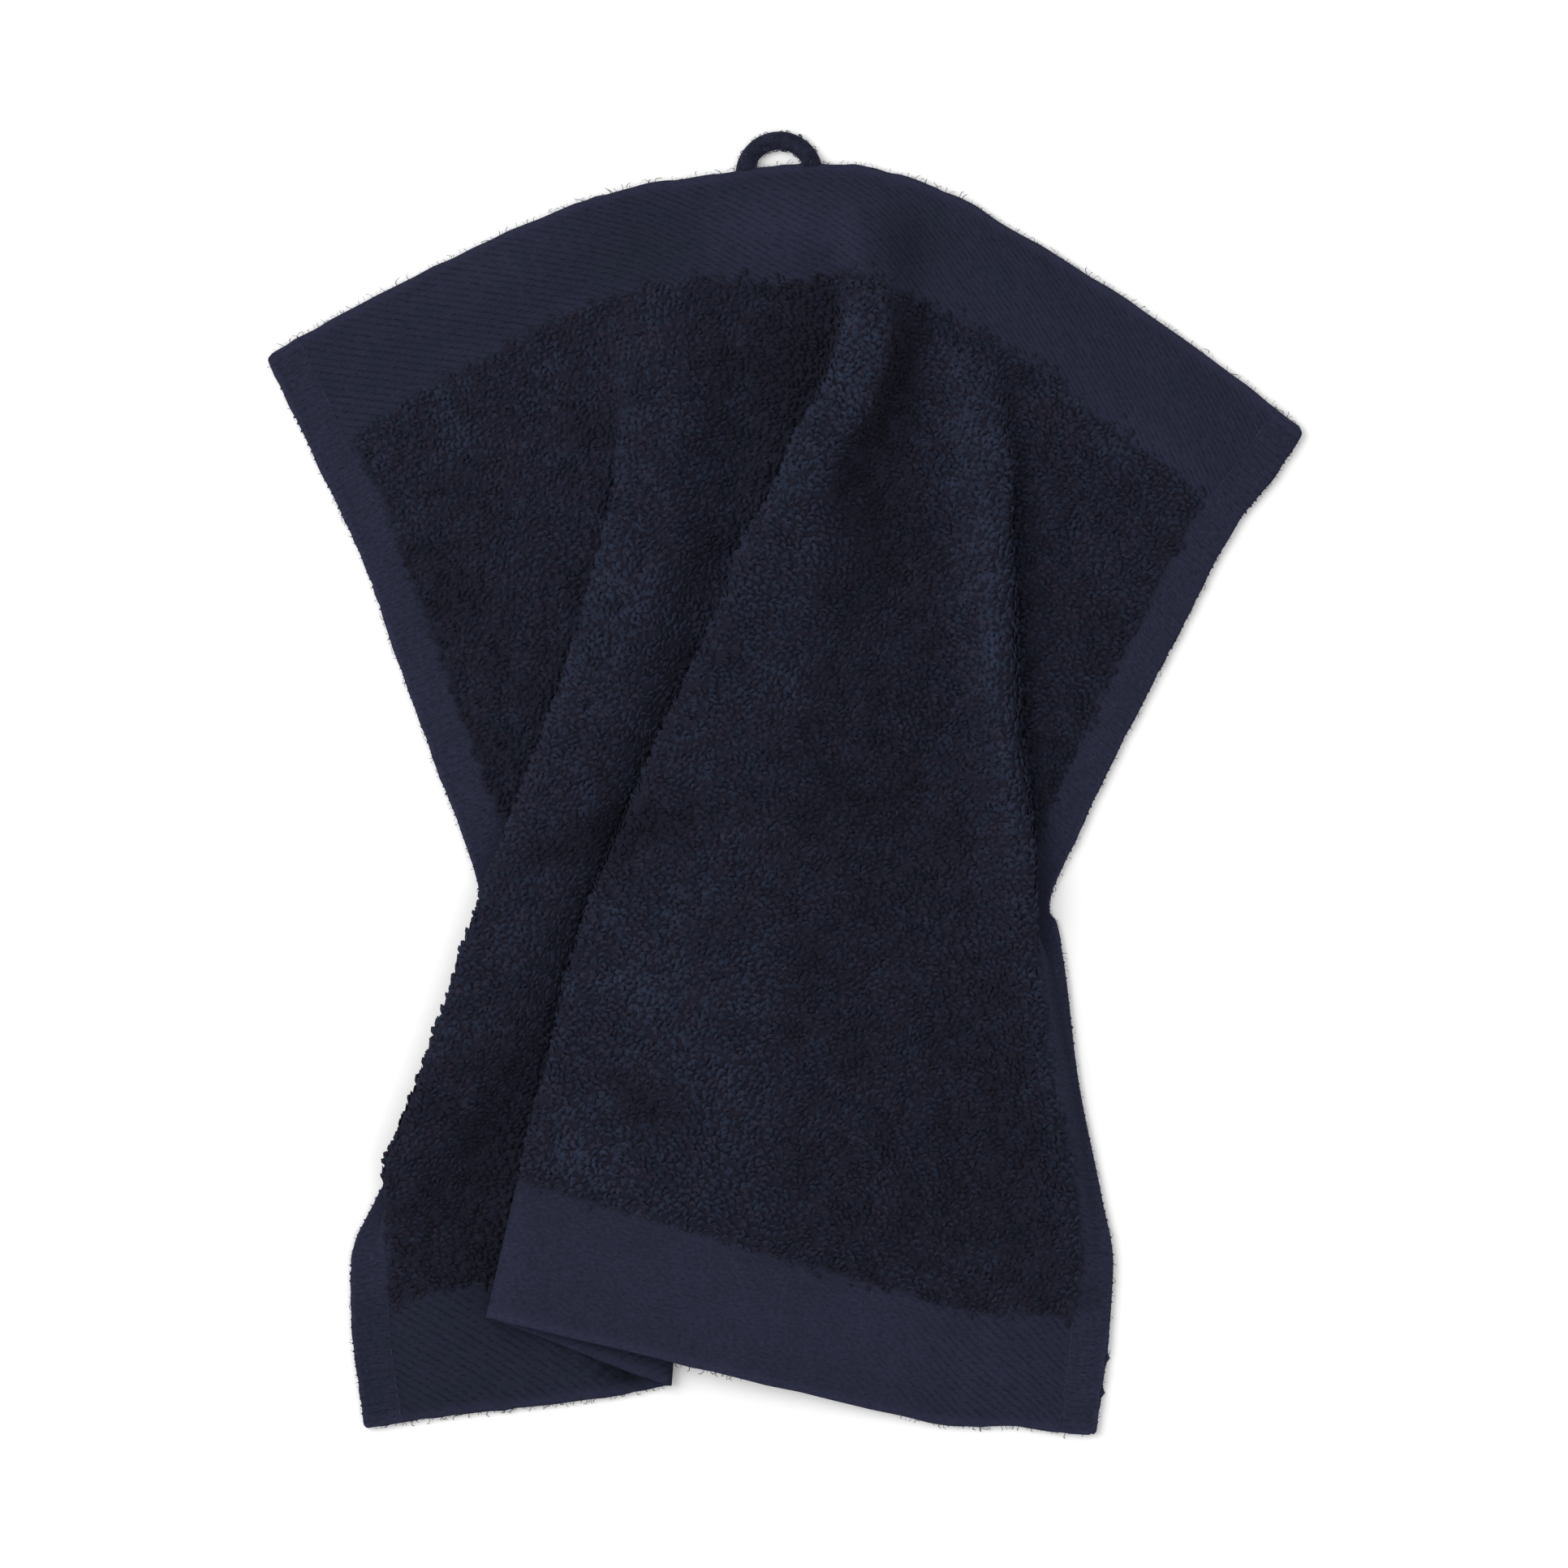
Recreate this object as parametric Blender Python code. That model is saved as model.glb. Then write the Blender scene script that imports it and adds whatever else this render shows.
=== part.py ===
"""Terry washcloth with a hanging loop, lying face up on a flat surface.

The cloth is one square of terry with a flat twill band across its top and bottom ends and narrow side hems.
It lies as a fan: a wing to each side at the top, and three folds that run down from the top band. The left
and the main fold lie over to the left as flat pleats, and the right fold lies over to the right.

Sizes are in millimetres until they become mesh points, which are in metres.
X runs across the cloth to the right, Y runs up towards the hanging loop, and Z is up from the surface.
"""
import math
from typing import NamedTuple

import bmesh
import bpy
import numpy as np

MM = 0.001

# --- the cloth as it is cut and woven ---------------------------------------------------------------------
CLOTH_LENGTH = 300.0        # from the top edge to the bottom edge, along the warp
BAND_LENGTH = 30.0          # flat twill band at each end
SIDE_HEM = 11.0             # width of each side hem
TERRY_THICKNESS = 2.6       # ground cloth and its loops on both faces
FLAT_THICKNESS = 1.8        # bands and hems, which have no pile
PILE_STEP = 6.0             # length over which the pile rises from band or hem to its full height
LAYER_GAP = 0.8             # air between two layers of a pleat
PLEAT = 2 * (TERRY_THICKNESS + LAYER_GAP)    # height of a flat pleat's top layer above its lowest one
FLAT_TUCK = 6.0             # a fold with this much cloth tucked under it lies flat

# Shaping points of a half-round turn, in radii of the turn. The curve runs inside them, so they stand wider.
TURN_START = 1.67           # along the layer, where it leaves the straight
TURN_START_HEIGHT = 1.15    # above or below the middle of the turn
TURN_TIP = -0.08            # along the layer, at the tip
TURN_TIP_HEIGHT = 0.75

# --- the hanging loop -------------------------------------------------------------------------------------
LOOP_X = -1.5               # centre of the arch
LOOP_Y = 153.9
LOOP_RADIUS = 9.0           # centre line of the cord
CORD_WIDTH = 4.0
CORD_HEIGHT = 2.4
LOOP_GAP = 0.5              # between each cut end and the middle of the hem's edge, which spreads a little
LOOP_SEGMENTS = 24
CORD_SIDES = 10

# --- mesh -------------------------------------------------------------------------------------------------
ROWS_DOWN = 34              # mesh rows from the top edge to the bottom edge
WING_STEPS, FOLD_STEPS, MIDDLE_STEPS, FRONT_STEPS = 2, 1, 2, 3     # mesh columns for each span of a section

# Where a panel has shaping points between its ends, as shares of the way across it.
LEFT_WING_SHARES = (0.12, 0.45, 0.85)
MIDDLE_SHARES = (0.5, 0.88)
FRONT_SHARES = (0.33, 0.67)
RIGHT_WING_SHARES = (0.15, 0.55, 0.88)
FOLD_SPANS = 10
SPAN_STEPS = (
    (WING_STEPS,) * (len(LEFT_WING_SHARES) + 1) + (FOLD_STEPS,) * FOLD_SPANS
    + (MIDDLE_STEPS,) * (len(MIDDLE_SHARES) + 1) + (FOLD_STEPS,) * FOLD_SPANS
    + (FRONT_STEPS,) * (len(FRONT_SHARES) + 1) + (FOLD_STEPS,) * FOLD_SPANS
    + (WING_STEPS,) * (len(RIGHT_WING_SHARES) + 1)
)

NAVY = (0.021, 0.023, 0.040)
CLOTH_ROUGHNESS = 0.95
CORD_ROUGHNESS = 0.9
SHARP_EDGE = math.radians(50.0)      # the rims of the loop's cut ends


class Edge(NamedTuple):
    """A point of a selvedge, `down` mm along the cloth from its top edge."""
    down: float
    x: float
    y: float


class Fold(NamedTuple):
    """One section of a fold.

    The crest is at x, y. The cloth comes up from the surface at (valley_x, valley_y) from the crest, which is
    under the fold where the fold lies flat. It stays up for `width` mm past the crest, and is down again at
    `reach` mm.
    """
    down: float
    x: float
    y: float
    valley_x: float
    valley_y: float
    width: float
    reach: float
    rise: float


class Bow(NamedTuple):
    """How far the middle of each panel lies from the straight line between its ends, along Y."""
    down: float
    left_wing: float
    middle: float
    front: float
    right_wing: float


class Swell(NamedTuple):
    """A soft rise of all the layers over an oval, turned by `turn` degrees."""
    x: float
    y: float
    half_length: float
    half_width: float
    turn: float
    height: float


LEFT_EDGE = (
    Edge(0, -131.4, 108.0), Edge(30, -119.0, 82.0), Edge(60, -106.7, 55.8), Edge(90, -97.2, 28.5),
    Edge(120, -87.2, 1.2), Edge(150, -77.8, -25.9), Edge(165, -77.6, -40.0), Edge(180, -81.5, -54.5),
    Edge(210, -91.0, -81.5), Edge(240, -104.0, -106.0), Edge(252, -109.2, -117.0), Edge(270, -109.8, -134.0),
    Edge(300, -106.5, -163.0),
)
RIGHT_EDGE = (
    Edge(0, 131.4, 89.1), Edge(15, 123.1, 76.6), Edge(30, 113.7, 65.1), Edge(60, 100.0, 38.5),
    Edge(90, 86.1, 11.9), Edge(120, 73.2, -15.0), Edge(137, 66.8, -30.7), Edge(158, 67.2, -33.6),
    Edge(170, 68.9, -36.0), Edge(180, 70.6, -45.7), Edge(210, 74.3, -75.7), Edge(240, 80.2, -105.1),
    Edge(255, 83.0, -119.9), Edge(270, 82.1, -134.8), Edge(300, 78.6, -164.7),
)
LEFT_FOLD = (
    Fold(0, -34.4, 152.6, -16.0, -5.6, 6.0, 14.0, 0.0),
    Fold(30, -36.5, 126.5, -12.0, -4.0, 6.0, 16.0, 0.8),
    Fold(45, -37.4, 109.6, -8.0, -2.5, 6.0, 19.0, 3.2),
    Fold(60, -39.4, 92.9, -4.0, -1.5, 7.0, 22.0, 5.4),
    Fold(75, -42.4, 76.3, 0.5, -1.0, 9.0, 25.0, 6.6),
    Fold(90, -46.0, 59.8, 7.0, -4.0, 13.0, 29.0, PLEAT),
    Fold(120, -55.1, 27.3, 12.5, -7.0, 18.0, 32.0, PLEAT),
    Fold(150, -66.9, -4.3, 13.5, -7.0, 19.0, 32.0, PLEAT),
    Fold(180, -78.9, -35.8, 13.5, -6.0, 19.0, 31.0, PLEAT),
    Fold(210, -89.6, -67.7, 13.0, -5.0, 19.0, 32.0, PLEAT),
    Fold(228, -97.0, -87.0, 10.0, -3.0, 16.0, 29.0, PLEAT),
    Fold(240, -101.2, -99.6, 4.5, -2.0, 10.0, 24.0, 6.2),
    Fold(250, -100.0, -111.0, -2.0, -0.8, 6.0, 18.0, 3.8),
    Fold(258, -98.0, -119.5, -5.5, -0.6, 5.0, 15.0, 1.4),
    Fold(270, -97.0, -132.0, -5.5, -0.6, 5.0, 12.0, 0.0),
    Fold(300, -93.0, -161.1, -5.5, -0.6, 5.0, 12.0, 0.0),
)
MAIN_FOLD = (
    Fold(0, 22.5, 155.8, -14.0, 0.3, 4.0, 9.0, 0.0),
    Fold(15, 21.8, 143.0, -12.0, 0.5, 5.0, 10.0, 2.4),
    Fold(30, 20.0, 129.6, -8.0, 0.0, 7.0, 12.0, 6.5),
    Fold(45, 17.2, 115.0, -5.5, 0.0, 9.0, 10.5, 9.5),
    Fold(60, 11.4, 100.8, -3.0, 0.5, 12.0, 13.0, 10.5),
    Fold(75, 3.4, 87.0, -0.5, -0.5, 13.0, 17.0, 10.0),
    Fold(90, -3.2, 73.0, 4.0, -1.5, 14.0, 23.0, 9.0),
    Fold(105, -10.8, 59.5, 8.0, -2.5, 16.0, 28.0, 8.0),
    Fold(120, -16.1, 44.9, 13.0, -4.5, 20.0, 34.0, 7.2),
    Fold(150, -28.9, 16.7, 22.0, -7.5, 29.0, 45.0, PLEAT),
    Fold(180, -41.4, -11.8, 30.0, -10.0, 37.0, 53.0, PLEAT),
    Fold(210, -52.5, -41.0, 34.0, -11.5, 41.0, 57.0, PLEAT),
    Fold(240, -59.9, -71.4, 38.0, -13.0, 48.0, 64.0, PLEAT),
    Fold(270, -67.3, -101.6, 41.0, -14.0, 52.0, 68.0, PLEAT),
    Fold(300, -74.9, -134.9, 46.0, -15.8, 56.0, 71.0, PLEAT),
)
RIGHT_FOLD = (
    Fold(0, 45.7, 146.8, 9.0, -6.0, 4.0, 9.0, 0.0),
    Fold(30, 47.8, 115.2, 8.0, -4.0, 5.0, 12.0, 1.0),
    Fold(45, 51.9, 99.1, 6.0, -2.0, 6.0, 17.0, 3.6),
    Fold(60, 55.6, 83.0, 3.0, -1.0, 7.0, 20.0, 6.0),
    Fold(75, 56.6, 66.5, -2.0, -1.5, 10.0, 24.0, 6.6),
    Fold(90, 57.2, 49.9, -9.0, -4.0, 15.0, 30.0, PLEAT),
    Fold(120, 58.5, 16.7, -15.0, -7.0, 21.0, 36.0, PLEAT),
    Fold(150, 62.4, -16.2, -10.0, -5.0, 16.0, 31.0, PLEAT),
    Fold(162, 63.2, -28.5, -4.0, -2.5, 10.0, 25.0, 6.4),
    Fold(172, 63.0, -38.5, 0.5, -1.0, 7.0, 21.0, 5.0),
    Fold(182, 62.6, -48.0, 3.5, -1.0, 6.0, 18.0, 3.8),
    Fold(210, 67.0, -75.4, 4.0, -0.8, 5.0, 17.0, 3.0),
    Fold(240, 72.0, -104.9, 4.0, -0.8, 5.0, 17.0, 2.4),
    Fold(255, 74.0, -119.0, 3.5, -0.5, 5.0, 15.0, 1.0),
    Fold(270, 74.0, -133.5, 1.5, -0.5, 5.0, 13.0, 0.0),
    Fold(300, 70.5, -163.2, 1.5, -0.5, 5.0, 13.0, 0.0),
)
BOWS = (
    Bow(0, 3.0, 0.2, 0.0, 2.6),
    Bow(30, 2.6, 0.6, 0.0, 1.6),
    Bow(60, 0.6, 0.0, 0.0, 0.6),
    Bow(150, 0.0, 0.0, -0.6, 0.0),
    Bow(270, 0.0, 0.0, -2.6, 0.0),
    Bow(300, -0.4, -1.0, -3.6, 0.0),
)
SWELLS = (
    Swell(3.0, 141.0, 26.0, 15.0, 10.0, 2.2),
    Swell(-52.0, 128.0, 30.0, 11.0, 28.0, 1.4),
    Swell(62.0, 118.0, 26.0, 10.0, -32.0, 1.6),
    Swell(-96.0, 74.0, 20.0, 12.0, -60.0, 0.8),
    Swell(-12.0, -68.0, 42.0, 24.0, 78.0, 1.6),
    Swell(46.0, -78.0, 40.0, 14.0, 96.0, 1.2),
    Swell(-86.0, -120.0, 18.0, 12.0, 70.0, 0.9),
)


def along(table, down):
    """Every column of a table at each distance in `down`, on a smooth curve through the table's rows."""
    rows = np.array(table, dtype=float)
    at, values = rows[:, 0], rows[:, 1:]
    chord = np.diff(values, axis=0) / np.diff(at)[:, None]
    slope = np.vstack((chord[:1], (chord[1:] + chord[:-1]) / 2.0, chord[-1:]))
    flat = np.vstack((chord[:1] < 0.0, chord[1:] * chord[:-1] <= 0.0, chord[-1:] < 0.0))
    flat[[0, -1]] = False
    slope[flat] = 0.0
    span = np.clip(np.searchsorted(at, down, side="right") - 1, 0, len(at) - 2)
    length = (at[span + 1] - at[span])[:, None]
    t = (down - at[span])[:, None] / length
    return (
        (2 * t**3 - 3 * t**2 + 1) * values[span] + (t**3 - 2 * t**2 + t) * length * slope[span]
        + (3 * t**2 - 2 * t**3) * values[span + 1] + (t**3 - t**2) * length * slope[span + 1]
    )


def smooth_step(value):
    """0 below 0, 1 above 1, and an S curve between."""
    t = np.clip(value, 0.0, 1.0)
    return t * t * (3.0 - 2.0 * t)


def unit(vectors):
    """The directions of an array of plan vectors."""
    return vectors / np.linalg.norm(vectors, axis=1)[:, None]


def raised(plan, height):
    """Plan points with a height each."""
    return np.column_stack((plan, np.broadcast_to(height, len(plan))))


def hairpin(tip, below, above, low, high):
    """Four shaping points of a half-round turn with its tip at `tip`.

    The lower layer, at height `low`, runs off the way `below`, and the upper one, at `high`, the way `above`.
    """
    radius = (high - low) / 2
    middle = (high + low) / 2
    start, bulge = TURN_START * radius[:, None], TURN_TIP * radius[:, None]
    start_height, tip_height = TURN_START_HEIGHT * radius, TURN_TIP_HEIGHT * radius
    return [
        raised(tip + below * start, np.maximum(middle - start_height, 0.0)),
        raised(tip + below * bulge, middle - tip_height),
        raised(tip + above * bulge, middle + tip_height),
        raised(tip + above * start, middle + start_height),
    ]


def fold_points(fold, home, onward):
    """The shaping points of a fold: from the surface up to its crest, over it and down again.

    The lowest layer comes from `home`, and `onward` is the way the top layer runs from the crest. Where the
    valley lies that way too, the fold is a flat pleat with a half-round turn at its valley and its crest.
    Elsewhere it is an open ridge.
    """
    crest, valley = fold[:, 0:2], fold[:, 0:2] + fold[:, 2:4]
    width, reach, rise = fold[:, 4:5], fold[:, 5:6], fold[:, 6]
    laid = smooth_step(np.sum(fold[:, 2:4] * onward, axis=1) / FLAT_TUCK)[:, None]
    back = unit(valley - crest)
    pleat = hairpin(valley, unit(home - valley), -back, np.zeros(len(rise)), rise / 2)
    pleat += hairpin(crest, back, onward, rise / 2, rise)
    points = []
    for share, turned in zip(np.linspace(0.0, 1.0, len(pleat)), pleat):
        ridge = raised(valley + (crest - valley) * share, rise * smooth_step(share))
        points.append(ridge + (turned - ridge) * laid)
    points.append(raised(crest + onward * width, rise))
    points.append(raised(crest + onward * (width + reach) / 2, rise / 2))
    points.append(raised(crest + onward * reach, 0.0))
    return points


def panel_points(start, end, bow, shares):
    """Shaping points of a panel that lies on the surface, at shares of the way between two plan points."""
    points = []
    for share in shares:
        plan = start + (end - start) * share
        plan[:, 1] += 4.0 * share * (1.0 - share) * bow
        points.append(raised(plan, 0.0))
    return points


def section_points(down):
    """The shaping points of the section at each distance in `down`, from the left selvedge to the right."""
    left, right, bow = along(LEFT_EDGE, down), along(RIGHT_EDGE, down), along(BOWS, down)
    fold_l, fold_m, fold_r = (along(table, down) for table in (LEFT_FOLD, MAIN_FOLD, RIGHT_FOLD))
    valley_l, valley_m, valley_r = (fold[:, 0:2] + fold[:, 2:4] for fold in (fold_l, fold_m, fold_r))
    across = fold_r[:, 0:2] - fold_m[:, 0:2]
    sag = np.column_stack((np.zeros(len(down)), 2.0 * bow[:, 2]))
    points_l = fold_points(fold_l, left, unit(valley_m - fold_l[:, 0:2]))
    points_m = fold_points(fold_m, points_l[-1][:, 0:2], unit(sag + across))
    points_r = fold_points(fold_r, right, unit(sag - across))[::-1]
    return np.stack((
        raised(left, 0.0),
        *panel_points(left, valley_l, bow[:, 0], LEFT_WING_SHARES),
        *points_l,
        *panel_points(points_l[-1][:, 0:2], valley_m, bow[:, 1], MIDDLE_SHARES),
        *points_m,
        *panel_points(points_m[-1][:, 0:2], points_r[0][:, 0:2], 0.0, FRONT_SHARES),
        *points_r,
        *panel_points(valley_r, right, bow[:, 3], RIGHT_WING_SHARES),
        raised(right, 0.0),
    ), axis=1)


def rounded(points):
    """A smooth curve for each row of shaping points, with SPAN_STEPS points for its spans."""
    before, after = 2 * points[:, :1] - points[:, 1:2], 2 * points[:, -1:] - points[:, -2:-1]
    padded = np.concatenate((before, points, after), axis=1)
    span = np.repeat(np.arange(len(SPAN_STEPS)), SPAN_STEPS)
    t = np.concatenate([np.arange(steps) / steps for steps in SPAN_STEPS])[:, None]
    weights = ((1 - t)**3, 3 * t**3 - 6 * t**2 + 4, -3 * t**3 + 3 * t**2 + 3 * t + 1, t**3)
    curve = sum(weight * padded[:, span + i] for i, weight in enumerate(weights)) / 6
    return np.concatenate((curve, points[:, -1:]), axis=1)


def swell_height(plan):
    """How far the swells lift the cloth at each plan point."""
    height = np.zeros(plan.shape[:-1])
    for swell in SWELLS:
        turn = math.radians(swell.turn)
        across, up = plan[..., 0] - swell.x, plan[..., 1] - swell.y
        along_it = (across * math.cos(turn) + up * math.sin(turn)) / swell.half_length
        beside_it = (up * math.cos(turn) - across * math.sin(turn)) / swell.half_width
        height += swell.height * np.clip(1.0 - along_it**2 - beside_it**2, 0.0, None)**2
    return height


def cloth_sheet():
    """The middle surface of the cloth as rows of points, and its thickness at each point."""
    down = np.linspace(0.0, CLOTH_LENGTH, ROWS_DOWN + 1)
    sheet = rounded(section_points(down))
    run = np.linalg.norm(np.diff(sheet, axis=1), axis=2).cumsum(axis=1)
    run = np.concatenate((np.zeros((len(run), 1)), run), axis=1)
    from_side = np.minimum(run, run[:, -1:] - run)
    from_end = np.minimum(down, CLOTH_LENGTH - down)[:, None]
    end_pile = smooth_step((from_end - BAND_LENGTH) / PILE_STEP)
    pile = end_pile * smooth_step((from_side - SIDE_HEM) / PILE_STEP)
    thickness = FLAT_THICKNESS + (TERRY_THICKNESS - FLAT_THICKNESS) * pile
    layer = FLAT_THICKNESS + (TERRY_THICKNESS - FLAT_THICKNESS) * end_pile + LAYER_GAP
    sheet[..., 2] *= layer / (TERRY_THICKNESS + LAYER_GAP)
    sheet[..., 2] += thickness / 2 + swell_height(sheet[..., 0:2])
    return sheet, thickness


def finish(name, colour, roughness):
    """A cloth material."""
    material = bpy.data.materials.new(name)
    material.use_nodes = True
    shader = material.node_tree.nodes["Principled BSDF"]
    shader.inputs["Base Color"].default_value = (*colour, 1.0)
    shader.inputs["Roughness"].default_value = roughness
    shader.inputs["Metallic"].default_value = 0.0
    return material


def new_object(name, bm, material):
    """An object made from a bmesh."""
    mesh = bpy.data.meshes.new(name)
    bm.to_mesh(mesh)
    bm.free()
    mesh.materials.append(material)
    obj = bpy.data.objects.new(name, mesh)
    bpy.context.scene.collection.objects.link(obj)
    return obj


def build_washcloth(material, sheet, thickness):
    """The cloth: a grid laid over the sections, given its thickness by a Solidify modifier."""
    rows, columns = thickness.shape
    bm = bmesh.new()
    bmesh.ops.create_grid(bm, x_segments=columns - 1, y_segments=rows - 1, size=1.0)
    bm.verts.ensure_lookup_table()
    for vertex, point in zip(bm.verts, sheet[::-1].reshape(-1, 3)):
        vertex.co = point * MM
    cloth = new_object("washcloth", bm, material)
    pile = cloth.vertex_groups.new(name="thickness")
    for index, value in enumerate(thickness[::-1].ravel()):
        pile.add((index,), value / TERRY_THICKNESS, "REPLACE")
    solidify = cloth.modifiers.new("thickness", "SOLIDIFY")
    solidify.thickness = TERRY_THICKNESS * MM
    solidify.offset = 0.0
    solidify.vertex_group = pile.name
    cloth.data.shade_smooth()


def build_hanging_loop(material, hem_edge):
    """The loop: a cord spun into an arch, cut off just clear of the hem edge that it is sewn to."""
    half_span = LOOP_RADIUS - CORD_WIDTH / 2
    feet = [LOOP_X - half_span, LOOP_X + half_span]
    foot_left, foot_right = np.interp(feet, hem_edge[:, 0], hem_edge[:, 1]) + LOOP_GAP
    bm = bmesh.new()
    ring = bmesh.ops.create_circle(bm, segments=CORD_SIDES, radius=CORD_WIDTH / 2, cap_ends=False)
    for vertex in ring["verts"]:
        across, up = vertex.co.x, vertex.co.y * CORD_HEIGHT / CORD_WIDTH
        vertex.co = (LOOP_X + LOOP_RADIUS + across, LOOP_Y, up + CORD_HEIGHT / 2)
    bmesh.ops.spin(
        bm, geom=bm.verts[:] + bm.edges[:], cent=(LOOP_X, LOOP_Y, 0.0), axis=(0.0, 0.0, 1.0),
        angle=math.pi, steps=LOOP_SEGMENTS,
    )
    slope = (foot_right - foot_left) / (2 * half_span)
    cut = bmesh.ops.bisect_plane(
        bm, geom=bm.verts[:] + bm.edges[:] + bm.faces[:], plane_co=(feet[0], foot_left, 0.0),
        plane_no=(-slope, 1.0, 0.0), clear_inner=True,
    )
    rim = [item for item in cut["geom_cut"] if isinstance(item, bmesh.types.BMEdge)]
    bmesh.ops.edgenet_fill(bm, edges=rim)
    bmesh.ops.recalc_face_normals(bm, faces=bm.faces[:])
    bmesh.ops.scale(bm, vec=(MM, MM, MM), verts=bm.verts[:])
    loop = new_object("hanging_loop", bm, material)
    loop.data.shade_smooth()
    loop.data.set_sharp_from_angle(angle=SHARP_EDGE)


def main():
    """Build the washcloth and its loop in an empty scene."""
    for old in list(bpy.data.objects):
        bpy.data.objects.remove(old, do_unlink=True)
    sheet, thickness = cloth_sheet()
    build_washcloth(finish("navy_terry", NAVY, CLOTH_ROUGHNESS), sheet, thickness)
    build_hanging_loop(finish("navy_cord", NAVY, CORD_ROUGHNESS), sheet[0])


main()
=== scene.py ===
"""A navy terry washcloth with a hanging loop, lying in soft folds on a pale floor.

Sizes are in millimetres until they become mesh points, which are in metres. X runs across the cloth to the
right, Y runs up towards the hanging loop, and Z is up from the floor.
"""

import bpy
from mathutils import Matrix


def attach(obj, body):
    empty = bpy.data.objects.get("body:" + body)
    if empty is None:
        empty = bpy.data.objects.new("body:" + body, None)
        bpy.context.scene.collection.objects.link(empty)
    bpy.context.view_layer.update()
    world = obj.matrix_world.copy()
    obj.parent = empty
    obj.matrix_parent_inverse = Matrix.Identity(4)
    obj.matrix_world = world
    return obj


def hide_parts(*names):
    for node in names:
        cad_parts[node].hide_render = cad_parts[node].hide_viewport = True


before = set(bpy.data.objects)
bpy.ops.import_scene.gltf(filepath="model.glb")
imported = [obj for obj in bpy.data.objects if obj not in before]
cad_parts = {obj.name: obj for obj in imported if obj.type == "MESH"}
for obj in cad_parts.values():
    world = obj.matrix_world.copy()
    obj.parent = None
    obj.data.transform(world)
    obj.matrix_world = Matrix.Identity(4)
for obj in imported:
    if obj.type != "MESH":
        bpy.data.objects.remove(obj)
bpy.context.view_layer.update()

import logging
import math
from dataclasses import dataclass, fields
from enum import Enum
from typing import Any, ClassVar, NamedTuple

import bmesh
import bpy
import numpy as np
from mathutils import Matrix, Vector
from mathutils.bvhtree import BVHTree

LOG = logging.getLogger("washcloth")
MM = 0.001


# --- how the cloth lies ---------------------------------------------------------------------------------------
class Edge(NamedTuple):
    """A point of a selvedge, `down` mm along the cloth from its top edge.

    Where the hem curls under, `curled` mm of it are out of sight.
    """
    down: float
    x: float
    y: float
    curled: float = 0.0


class Fold(NamedTuple):
    """One section of a fold.

    The crest is at x, y. The cloth comes up from the floor at (valley_x, valley_y) from the crest, which is
    under the fold where the fold lies flat. It stays up for `width` mm past the crest, and is down again at
    `reach` mm.
    """
    down: float
    x: float
    y: float
    valley_x: float
    valley_y: float
    width: float
    reach: float
    rise: float


class Bow(NamedTuple):
    """How far the middle of each panel lies from the straight line between its ends, along Y."""
    down: float
    left_wing: float
    middle: float
    front: float
    right_wing: float


class Swell(NamedTuple):
    """A soft rise or hollow of all the layers over an oval, turned by `turn` degrees."""
    x: float
    y: float
    half_length: float
    half_width: float
    turn: float
    height: float


class NapAndPaintedLight(NamedTuple):
    """How far the pile lies open, 0 to 1, across one section; the share also paints the loops' light and shade.
    """
    down: float
    left_wing: float
    left_crest: float
    left_shoulder: float
    middle: float
    main_valley: float
    main_crest: float
    main_top: float
    crease_left: float
    crease_right: float
    front: float
    right_flank: float
    right_crest: float
    right_wing: float


TERRY_THICKNESS = 2.6
FLAT_THICKNESS = 1.8
LAYER_GAP = 0.8
PLEAT = 2 * (TERRY_THICKNESS + LAYER_GAP)

LEFT_EDGE = (
    Edge(0, -131.4, 108.0), Edge(30, -119.0, 82.0), Edge(60, -106.7, 55.8), Edge(90, -97.2, 28.5),
    Edge(120, -87.2, 1.2), Edge(150, -77.8, -25.9), Edge(165, -77.6, -40.0), Edge(180, -81.5, -54.5),
    Edge(210, -91.0, -81.5), Edge(240, -104.0, -106.0), Edge(252, -109.2, -117.0), Edge(270, -109.8, -134.0),
    Edge(300, -106.5, -163.0),
)
RIGHT_EDGE = (
    Edge(0, 131.4, 89.1), Edge(15, 123.1, 76.6), Edge(30, 114.2, 65.3), Edge(60, 100.0, 38.5),
    Edge(90, 86.1, 11.9), Edge(120, 73.2, -15.0), Edge(137, 66.8, -30.7), Edge(158, 67.2, -33.6),
    Edge(170, 68.9, -36.0), Edge(180, 70.6, -45.7, 0.6), Edge(210, 74.3, -75.7, 2.2),
    Edge(240, 80.2, -105.1, 3.4), Edge(255, 83.0, -121.2, 3.4), Edge(268, 82.2, -136.2, 1.4),
    Edge(272, 81.9, -140.0), Edge(300, 78.6, -164.7),
)
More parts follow.
